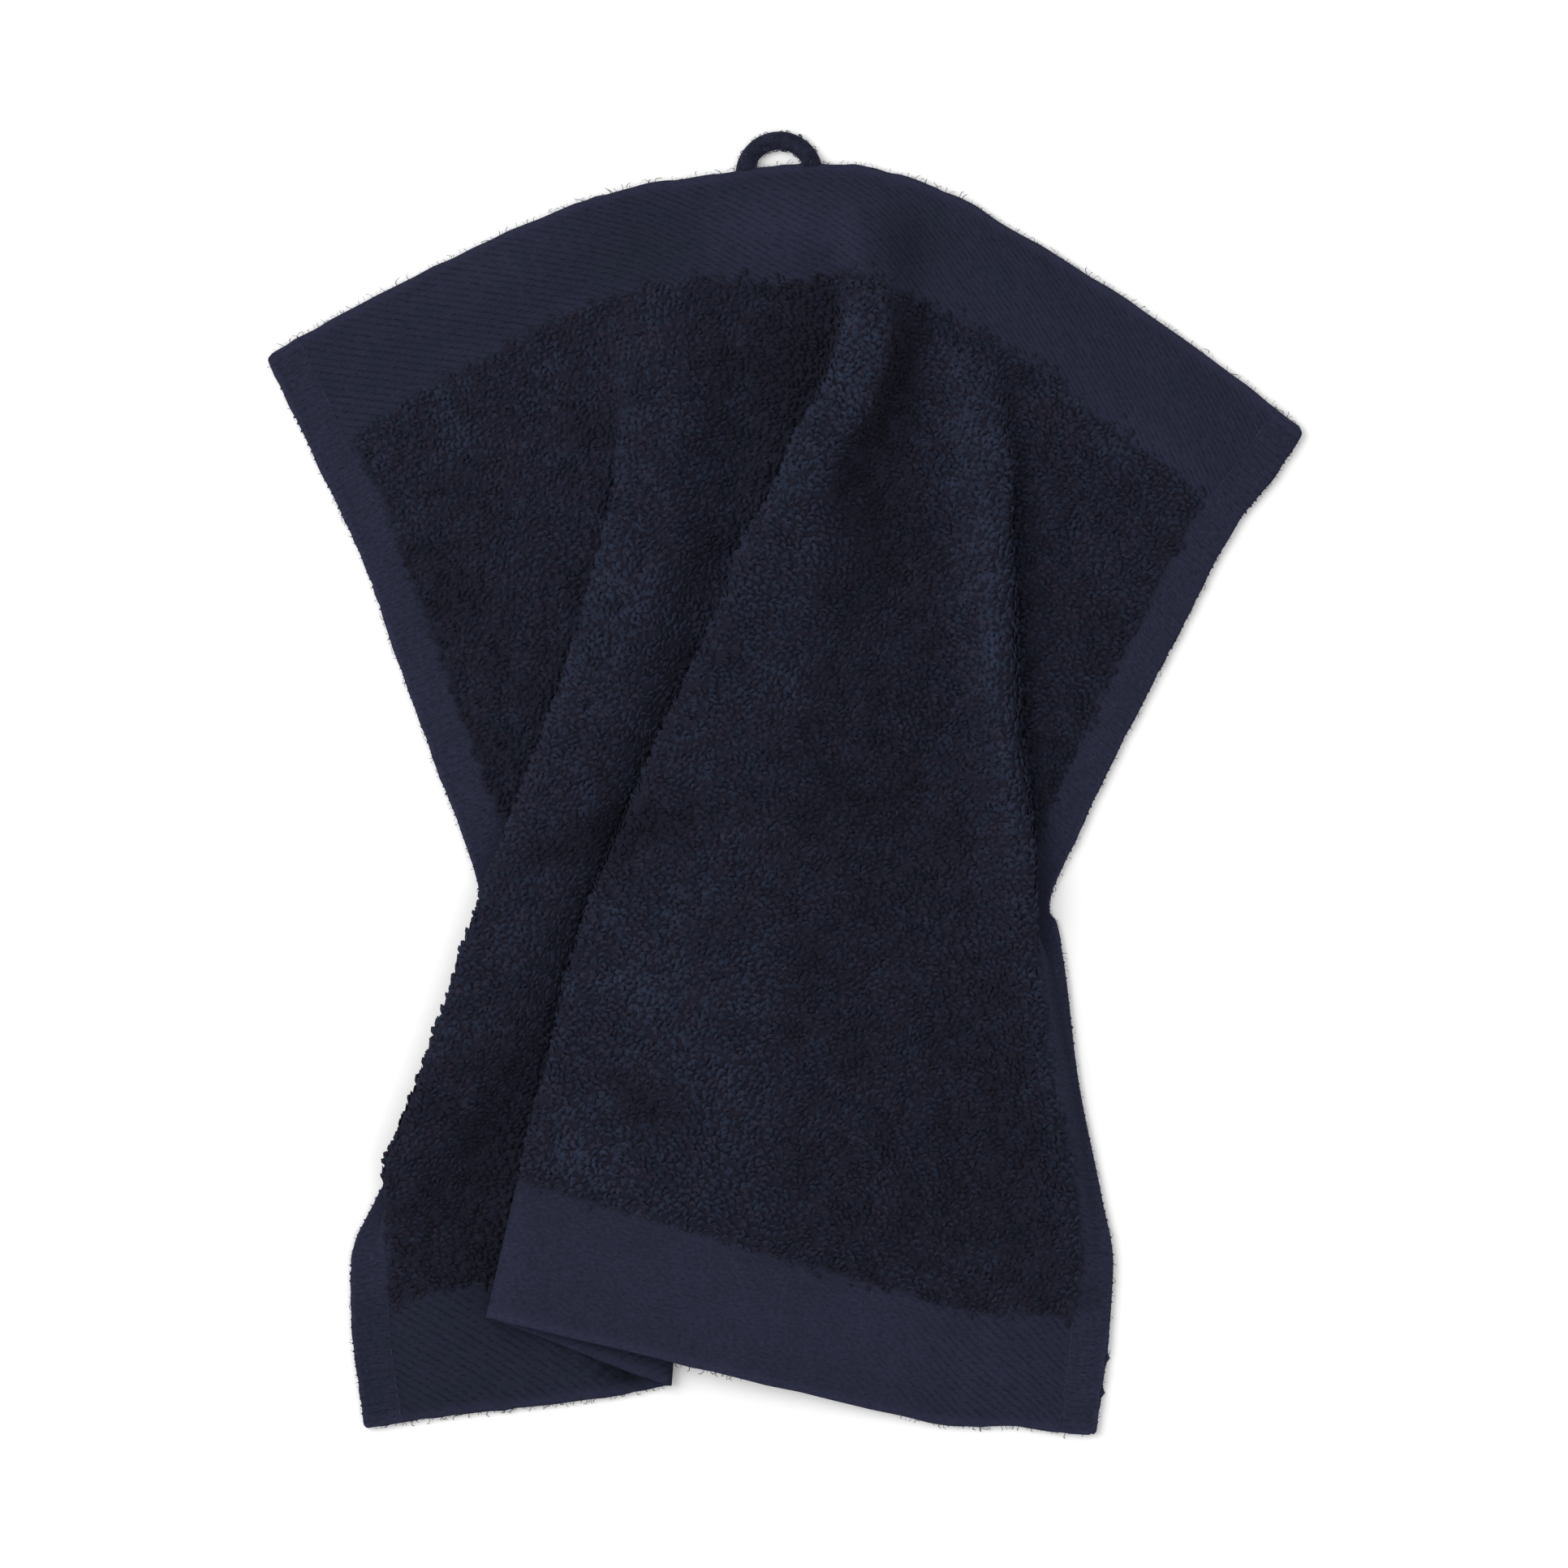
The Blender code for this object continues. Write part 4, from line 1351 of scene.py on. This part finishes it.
@dataclass
class TerryPile:
    """The loops on one face of the cloth, in rows across it, where they can be seen."""
    lay: Lay
    loop: Yarn = Yarn()
    row_spacing: float = 1.47
    spacing: float = 1.64
    stray: float = 0.34
    lift: float = 0.35
    ragged: float = 2.0
    ragged_edge: SoftNoise = SoftNoise(3.0, 8, 0.7)
    ragged_scatter: tuple[float, float] = (0.2, 0.35)
    nap_patches: SoftNoise = SoftNoise(9.0, 5, 0.10)
    nap_tufts: SoftNoise = SoftNoise(3.4, 6, 0.22)
    turn_patches: SoftNoise = SoftNoise(16.0, 3, 0.9)
    turn_tufts: SoftNoise = SoftNoise(6.0, 4, 0.5)
    shade_patches: SoftNoise = SoftNoise(9.0, 7, 0.08)
    cast_tufts: SoftNoise = SoftNoise(3.6, 9, 0.32)
    turn_scatter: float = 0.5
    tilt_scatter: float = 0.2
    shade_scatter: float = 0.08
    most_shade: float = 0.24
    cast_scatter: float = 0.28
    sizes: tuple[float, float] = (0.84, 1.16)
    heights: tuple[float, float] = (0.75, 1.2)
    lean_angles: tuple[float, ...] = (0.8, 1.15, 1.5)
    curls: tuple[float, ...] = (-0.5, 0.0, 0.5)
    finer: int = 3
    most_triangles: int = 190_000
    sight_from: float = 0.9
    sight_length: float = 14.0
    sight_rises: tuple[float, ...] = (0.35, 0.9)
    underside: bool = False
    title: str = "terry_loops"
    seed: int = 11

    @classmethod
    def underneath(cls, lay: Lay) -> "TerryPile":
        """The lower, sparser pile of the cloth's underside.

        Args:
            lay: The way the cloth lies.

        Returns:
            The pile.
        """
        return cls(
            lay, loop=Yarn(thick=1.1, span=2.2, height=0.85, steps=3, sides=3), row_spacing=2.3, spacing=2.4,
            stray=0.5, lift=0.25, underside=True, title="underside_loops", seed=12,
        )

    def spots(self, rng: np.random.Generator) -> Spots:
        """Find a place for each loop, in rows that end unevenly at the bands and hems.

        Args:
            rng: Source of the scatter.

        Returns:
            The places.
        """
        first = self.lay.band - self.ragged
        down = np.arange(first, self.lay.length - first, self.row_spacing)
        sheet = self.lay.sheet(down, self.finer)
        places = []
        for row, run in enumerate(sheet.across):
            start = self.lay.side_hem - self.ragged + self.spacing * (row % 2) / 2
            at = np.arange(start, run[-1] - start, self.spacing)
            places.append(at + rng.normal(0.0, self.stray, len(at)))
        spots = sheet.spots(places)
        from_end = np.minimum(spots.down, self.lay.length - spots.down)
        inside = np.minimum(spots.from_side - self.lay.side_hem, from_end - self.lay.band)
        scatter = rng.normal(*self.ragged_scatter, len(inside))
        spots = spots.only(inside > self.ragged * (self.ragged_edge.at(spots.run, spots.down) + scatter))
        return spots.underneath() if self.underside else spots

    def placements(self) -> Placements:
        """Work out where each loop stands and which way it lies.

        Returns:
            The loops.
        """
        rng = np.random.default_rng(self.seed)
        spots = self.spots(rng)
        x, y, count = spots.run, spots.down, len(spots.run)
        nap = np.clip(spots.nap + self.nap_patches.at(x, y) + self.nap_tufts.at(x, y), 0.0, 1.0)
        swirl = self.turn_patches.at(x, y) + self.turn_tufts.at(x, y)
        angle = (1.1 * nap - 0.1 + swirl + rng.normal(0.0, self.turn_scatter, count))[:, None]
        grain = spots.right * np.cos(angle) + spots.ahead * np.sin(angle)
        side = np.cross(spots.up, grain)
        size = (rng.uniform(*self.sizes, count) * (0.94 + 0.14 * nap))[:, None]
        tall = rng.uniform(*self.heights, count)[:, None]
        tilt = rng.normal(0.0, self.tilt_scatter, (count, 1))
        uneven = rng.normal(0.0, self.shade_scatter, count).clip(-self.most_shade, self.most_shade)
        shade = 1.0 + self.shade_patches.at(x, y) + uneven
        # Painted hue: loops lean blue where the pile takes painted light and plum where it takes painted shade,
        # besides their random cast.
        cast = 0.3 + 0.6 * nap + self.cast_tufts.at(x, y) + rng.normal(0.0, self.cast_scatter, count)
        return Placements(
            root=spots.root + spots.up * self.lift + spots.ahead * rng.normal(0.0, self.stray, (count, 1)),
            x_axis=grain * size, y_axis=side * size, z_axis=unit(spots.up + grain * tilt) * tall,
            # painted light and shade from the open-pile share
            shade=shade * (0.46 + 0.72 * nap), cast=np.clip(cast, 0.0, 1.0),
            kind=rng.integers(0, len(self.lean_angles) * len(self.curls), count),
        )

    def seen(self, placed: Placements) -> np.ndarray:
        """Which loops are not shut in between two layers of the cloth.

        Args:
            placed: The loops.

        Returns:
            A mask of those that can be seen.
        """
        sheet = self.lay.sheet(np.linspace(0.0, self.lay.length, 101), 2)
        rows, columns = sheet.across.shape
        corner = (np.arange(rows - 1)[:, None] * columns + np.arange(columns - 1)).ravel()
        quads = np.stack((corner, corner + 1, corner + columns + 1, corner + columns), axis=1)
        tree = BVHTree.FromPolygons(sheet.points.reshape(-1, 3).tolist(), quads.tolist())
        up = -1.0 if self.underside else 1.0
        ways = [Vector((0.0, 0.0, up))]
        for rise in self.sight_rises:
            ways += [
                Vector((math.cos(turn), math.sin(turn), rise * up)).normalized()
                for turn in np.linspace(0.0, math.tau, 8, endpoint=False)
            ]
        starts = placed.root + unit(placed.z_axis) * self.sight_from
        return np.array([
            any(tree.ray_cast(Vector(start), way, self.sight_length)[0] is None for way in ways)
            for start in starts
        ])

    def build(self) -> list[bpy.types.Object]:
        """Build the loops that can be seen.

        Returns:
            A few joined pieces.
        """
        placed = self.placements()
        total = len(placed)
        placed = placed.only(self.seen(placed))
        shapes = self.loop.shapes(tuple((lean, curl) for lean in self.lean_angles for curl in self.curls))
        triangles = 2 * len(shapes[0].faces)
        share = math.ceil(len(placed) * triangles / self.most_triangles)
        LOG.info("%s: %d of %d are seen, %d triangles each", self.title, len(placed), total, triangles)
        finish = PileFinish().material()
        pieces = []
        for number, which in enumerate(np.array_split(np.arange(len(placed)), share)):
            name = f"{self.title}_{number + 1}"
            pieces.append(show(name, placed.only(which).mesh(name, shapes), finish))
        return pieces


# --- the trim ------------------------------------------------------------------------------------------------
class Scatter(NamedTuple):
    """How copies of a yarn vary: how far above the cloth's middle they stand, their sizes, sway and shade."""
    lift: float
    smallest: float
    largest: float
    sway: float
    shade: float


@dataclass
class Trim:
    """The hems' seam stitches, the turns of yarn over both selvedges, and loose ends along the edges."""
    lay: Lay
    thread: Yarn = Yarn(thick=0.32, span=2.2, height=0.30, steps=3, arch=math.pi)
    turn: Yarn = Yarn(thick=0.6, span=0.8, height=0.85)
    fibre: Yarn = Yarn(thick=0.18, span=2.0, height=0.7, sides=3, arch=math.radians(170.0))
    seam_inset: float = 9.5
    seam_start: float = 0.8
    stitch: float = 2.3
    turn_step: float = 2.05
    turn_inset: float = 0.35
    turn_corners: tuple[float, float] = (3.2, 3.0)
    top_step: float = 1.1
    bottom_step: float = 0.9
    side_step: float = 1.1
    free_corner: float = 2.5
    side_end: float = 2.0
    top_shift: tuple[float, float] = (-0.5, 0.7)
    side_shift: tuple[float, float] = (-0.9, 0.3)
    stitch_scatter: Scatter = Scatter(0.72, 0.9, 1.1, 0.1, 0.95)
    turn_scatter: Scatter = Scatter(0.1, 0.7, 1.1, 0.25, 0.95)
    top_scatter: Scatter = Scatter(0.1, 0.4, 1.1, 0.6, 1.1)
    side_scatter: Scatter = Scatter(0.2, 0.4, 0.9, 0.7, 1.1)
    shut_in: float = 4.0
    shut_in_span: float = 2.0
    seed: int = 23

    def beside(self, down: np.ndarray, inset: float) -> tuple[Spots, np.ndarray]:
        """Places near both selvedges.

        Args:
            down: Distances from the top edge, in mm.
            inset: The distance in from the selvedge.

        Returns:
            The places, and the way out of the cloth at each.
        """
        sheet = self.lay.sheet(down, 3)
        spots = sheet.spots([np.array((inset, run[-1] - inset)) for run in sheet.across])
        left = np.tile((True, False), len(down))[:, None]
        return spots, np.where(left, -spots.right, spots.right)

    def ends(self, down: float, step: float, rng: np.random.Generator) -> tuple[Spots, np.ndarray]:
        """Places along the top or bottom edge, apart from the layers shut in between others.

        Args:
            down: The edge's distance from the top edge, in mm.
            step: The distance between places, in mm.
            rng: Source of the scatter.

        Returns:
            The places, and the way out of the cloth at each.
        """
        inward = 1.0 if down == 0.0 else -1.0
        sheet = self.lay.sheet(np.array((down, down + inward)), 3)
        places = np.arange(self.free_corner, sheet.across[0, -1] - self.free_corner, step)
        places = places + rng.uniform(-step / 2, step / 2, len(places))
        spots = sheet.spots([places, np.zeros(0)])
        spots = spots.only(np.abs(spots.root[:, 2] - self.shut_in) > self.shut_in_span)
        return spots, spots.ahead * inward

    @staticmethod
    def put(
        spots: Spots, way: np.ndarray, shift: np.ndarray | float, scatter: Scatter, rng: np.random.Generator
    ) -> Placements:
        """Lay copies along a direction.

        Args:
            spots: Where they are.
            way: The way each copy's length runs.
            shift: How far along it each copy is moved, in mm.
            scatter: How the copies vary.
            rng: Source of the scatter.

        Returns:
            The copies.
        """
        count = len(way)
        turn = rng.normal(0.0, scatter.sway, (count, 1))
        side = np.cross(spots.up, way)
        x_axis = way * np.cos(turn) + side * np.sin(turn)
        scale = rng.uniform(scatter.smallest, scatter.largest, (count, 1))
        roll = rng.normal(0.0, scatter.sway, (count, 1))
        y_axis = np.cross(spots.up, x_axis)
        z_axis = spots.up * np.cos(roll) + y_axis * np.sin(roll)
        return Placements(
            root=spots.root + way * shift + spots.up * scatter.lift, x_axis=x_axis * scale,
            y_axis=np.cross(z_axis, x_axis) * scale, z_axis=z_axis * scale,
            shade=scatter.shade * rng.uniform(0.8, 1.2, count), cast=rng.uniform(0.0, 1.0, count),
            kind=rng.integers(0, len(FIBRE_BENDS), count),
        )

    def stitches(self, rng: np.random.Generator) -> Placements:
        """Lay the seam stitches of both hems, across both bands.

        Args:
            rng: Source of the scatter.

        Returns:
            The stitches.
        """
        length, band = self.lay.length, self.lay.band
        top = np.arange(self.seam_start, band, self.stitch)
        bottom = np.arange(length - band, length - self.seam_start, self.stitch)
        spots, _ = self.beside(np.concatenate((top, bottom)), self.seam_inset)
        return self.put(spots, spots.ahead, 0.0, self.stitch_scatter, rng)

    def turns(self, rng: np.random.Generator) -> Placements:
        """Lay the turns of yarn over both selvedges.

        Args:
            rng: Source of the scatter.

        Returns:
            The turns.
        """
        first, last = self.turn_corners[0], self.lay.length - self.turn_corners[1]
        spots, out = self.beside(np.arange(first, last, self.turn_step), self.turn_inset)
        return self.put(spots, out, 0.0, self.turn_scatter, rng)

    def loose(self, rng: np.random.Generator) -> Placements:
        """Scatter loose ends along the top, the bottom and both selvedges.

        Args:
            rng: Source of the scatter.

        Returns:
            The loose ends.
        """
        groups = []
        for down, step in ((0.0, self.top_step), (self.lay.length, self.bottom_step)):
            spots, out = self.ends(down, step, rng)
            shift = rng.uniform(*self.top_shift, (len(out), 1))
            groups.append(self.put(spots, out, shift, self.top_scatter, rng))
        last = self.lay.length - self.side_end
        spots, out = self.beside(np.arange(self.free_corner, last, self.side_step), 0.0)
        shift = rng.uniform(*self.side_shift, (len(out), 1))
        groups.append(self.put(spots, out, shift, self.side_scatter, rng))
        return Placements.joined(groups)

    def build(self) -> list[bpy.types.Object]:
        """Build the stitches, the turns and the loose ends.

        Returns:
            One piece of each.
        """
        rng = np.random.default_rng(self.seed)
        finish = ThreadFinish().material()
        return [
            show(name, placed.mesh(name, yarn.shapes(bends)), finish)
            for name, yarn, bends, placed in (
                ("hem_stitches", self.thread, STRAIGHT, self.stitches(rng)),
                ("selvedge_turns", self.turn, STRAIGHT, self.turns(rng)),
                ("loose_ends", self.fibre, FIBRE_BENDS, self.loose(rng)),
            )
        ]


# --- the hanging loop -----------------------------------------------------------------------------------------
@dataclass(frozen=True)
class HangingLoop:
    """A soft cord bent to an arch, with both ends let into the top hem."""
    x: float = -1.5
    y: float = 153.9
    radius: float = 8.8
    cord_width: float = 4.6
    cord_height: float = 2.7
    sides: int = 20
    steps: int = 60
    let_in: float = 1.5
    hem_y: float = 155.95
    hem_slope: float = 0.065
    hem_middle: float = 0.9
    pressed: float = 0.38
    press_span: float = 1.0
    fibres: int = 130
    fibre: Yarn = Yarn(thick=0.26, span=1.5, height=0.8, sides=3, arch=math.radians(170.0))
    fibre_sizes: tuple[float, float] = (0.4, 1.0)
    seed: int = 31

    def spun(self) -> bmesh.types.BMesh:
        """Spin the cord to an arch, run its ends on into the hem and press them flat there.

        Returns:
            The cord, in mm.
        """
        bm = bmesh.new()
        bmesh.ops.create_circle(bm, segments=self.sides, radius=self.cord_width / 2, cap_ends=False)
        for vertex in bm.verts:
            flat = vertex.co.y * self.cord_height / self.cord_width
            vertex.co = (self.x + self.radius + vertex.co.x, self.y, flat + self.cord_height / 2)
        bmesh.ops.spin(
            bm, geom=bm.verts[:] + bm.edges[:], cent=(self.x, self.y, 0.0), axis=(0.0, 0.0, 1.0),
            angle=math.pi, steps=self.steps,
        )
        grown = bmesh.ops.extrude_edge_only(bm, edges=[edge for edge in bm.edges if edge.is_boundary])["geom"]
        ends = [item for item in grown if isinstance(item, bmesh.types.BMVert)]
        bmesh.ops.translate(bm, vec=(0.0, -self.let_in, 0.0), verts=ends)
        bmesh.ops.holes_fill(bm, edges=[edge for edge in bm.edges if edge.is_boundary])
        for vertex in bm.verts:
            hem = self.hem_y + self.hem_slope * (vertex.co.x - self.x)
            share = smooth_step((hem - vertex.co.y) / self.press_span + 0.5)
            lift = vertex.co.z - self.hem_middle
            vertex.co.z = self.hem_middle + lift * (1.0 - (1.0 - self.pressed) * share)
        bmesh.ops.recalc_face_normals(bm, faces=bm.faces[:])
        return bm

    def wrap(self, bm: bmesh.types.BMesh) -> None:
        """Give the cord's faces the "Cord" map, in mm round it and along it.

        Args:
            bm: The cord.
        """
        layer = bm.loops.layers.uv.new("Cord")
        wrap = self.cord_width * math.pi
        for face in bm.faces:
            turns = [self.turns(corner.vert.co) for corner in face.loops]
            for corner, (around, along) in zip(face.loops, turns):
                if around - turns[0][0] > wrap / 2:
                    around -= wrap
                elif turns[0][0] - around > wrap / 2:
                    around += wrap
                corner[layer].uv = (around, along)

    def turns(self, point: Vector) -> tuple[float, float]:
        """Where on the cord a point is.

        Args:
            point: The point.

        Returns:
            How far round the cord and how far along it, in mm.
        """
        above = max(point.y - self.y, 0.0)
        leg = max(self.y - point.y, 0.0) if point.x < self.x else min(point.y - self.y, 0.0)
        along = self.radius * math.atan2(above, point.x - self.x) + leg
        out = math.hypot(point.x - self.x, above) - self.radius
        around = math.atan2((point.z - self.cord_height / 2) * self.cord_width / self.cord_height, out)
        return around * self.cord_width / 2, along

    def fuzz(self) -> bpy.types.Object:
        """Scatter short fibres over the cord.

        Returns:
            The fibres, as one piece.
        """
        rng = np.random.default_rng(self.seed)
        along = rng.uniform(0.3, math.pi - 0.3, self.fibres)[:, None]
        around = rng.uniform(-0.4, math.pi + 0.4, self.fibres)[:, None]
        turn = rng.uniform(0.0, math.tau, self.fibres)[:, None]
        size = rng.uniform(*self.fibre_sizes, self.fibres)[:, None]
        up = np.array((0.0, 0.0, 1.0))
        out = np.hstack((np.cos(along), np.sin(along), np.zeros_like(along)))
        face = unit(out * np.cos(around) + up * np.sin(around))
        ahead = np.cross(up, out)
        way = ahead * np.cos(turn) + np.cross(face, ahead) * np.sin(turn)
        middle = np.array((self.x, self.y, self.cord_height / 2)) + out * self.radius
        root = middle + out * np.cos(around) * self.cord_width / 2 + up * np.sin(around) * self.cord_height / 2
        placed = Placements(
            root=root, x_axis=way * size, y_axis=np.cross(face, way) * size, z_axis=face * size,
            shade=rng.uniform(0.8, 1.3, self.fibres), cast=rng.uniform(0.0, 1.0, self.fibres),
            kind=rng.integers(0, len(FIBRE_BENDS), self.fibres),
        )
        mesh = placed.mesh("cord_fibres", self.fibre.shapes(FIBRE_BENDS))
        return show("cord_fibres", mesh, ThreadFinish().material())

    def build(self) -> list[bpy.types.Object]:
        """Build the cord and its fibres.

        Returns:
            Both pieces.
        """
        bm = self.spun()
        self.wrap(bm)
        bmesh.ops.scale(bm, vec=(MM, MM, MM), verts=bm.verts[:])
        mesh = bpy.data.meshes.new("hanging_cord")
        bm.to_mesh(mesh)
        bm.free()
        mesh.shade_smooth()
        piece = show("hanging_cord", mesh, CordFinish().material())
        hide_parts("hanging_loop")
        return [piece, self.fuzz()]


# --- the setting ----------------------------------------------------------------------------------------------
class Lamp(NamedTuple):
    """A square soft light: where it hangs and its side, in metres, and its power, in watts."""
    name: str
    place: tuple[float, float, float]
    size: float
    power: float


@dataclass(frozen=True)
class Studio:
    """A pale floor, soft light and a camera straight above."""
    lamps: tuple[Lamp, ...] = (
        Lamp("key", (-1.1, 0.45, 1.15), 1.3, 20.0), Lamp("fill", (0.7, -0.6, 1.6), 1.4, 3.0),
    )
    view_width: float = 0.3970
    camera_height: float = 2.2
    aim: tuple[float, float] = (-0.0003, -0.0001)
    floor_size: float = 6.0
    camera_sees: float = 20.0
    ambient: float = 0.85

    def floor(self) -> bpy.types.Object:
        """Lay the floor.

        Returns:
            The floor.
        """
        bm = bmesh.new()
        bmesh.ops.create_grid(bm, x_segments=1, y_segments=1, size=self.floor_size / 2)
        mesh = bpy.data.meshes.new("floor")
        bm.to_mesh(mesh)
        bm.free()
        mesh.materials.append(FloorFinish().material())
        piece = bpy.data.objects.new("floor", mesh)
        bpy.context.scene.collection.objects.link(piece)
        return piece

    def light(self, lamp: Lamp) -> None:
        """Hang a soft light that points at the cloth.

        Args:
            lamp: The light.
        """
        data = bpy.data.lights.new(lamp.name, "AREA")
        data.size = lamp.size
        data.energy = lamp.power
        light = bpy.data.objects.new(lamp.name, data)
        light.location = lamp.place
        light.rotation_euler = (-Vector(lamp.place)).to_track_quat("-Z", "Y").to_euler()
        bpy.context.scene.collection.objects.link(light)

    def build(self) -> bpy.types.Object:
        """Set the floor, lights and camera.

        Returns:
            The floor.
        """
        world = bpy.data.worlds.new("soft_room")
        world.use_nodes = True
        background = world.node_tree.nodes["Background"]
        background.inputs["Color"].default_value = (1.0, 1.0, 1.0, 1.0)
        background.inputs["Strength"].default_value = self.ambient
        scene = bpy.context.scene
        scene.world = world
        scene.view_settings.view_transform = "Standard"
        for lamp in self.lamps:
            self.light(lamp)
        data = bpy.data.cameras.new("camera")
        data.angle = 2 * math.atan(self.view_width / 2 / self.camera_height)
        data.clip_end = self.camera_sees
        camera = bpy.data.objects.new("camera", data)
        camera.location = (*self.aim, self.camera_height)
        scene.collection.objects.link(camera)
        scene.camera = camera
        return self.floor()


def main() -> None:
    """Build the washcloth, piece by piece, and its setting."""
    logging.basicConfig(level=logging.INFO, format="%(message)s")
    floor = Studio().build()
    lay = Lay()
    sheet = ClothSheet(lay).build()
    pile = TerryPile(lay).build() + TerryPile.underneath(lay).build()
    trim = Trim(lay).build()
    cord = HangingLoop().build()
    for piece in (sheet, *pile, *trim, *cord):
        LOG.info("%s: %d faces", piece.name, len(piece.data.polygons))


if __name__ == "__main__":
    main()
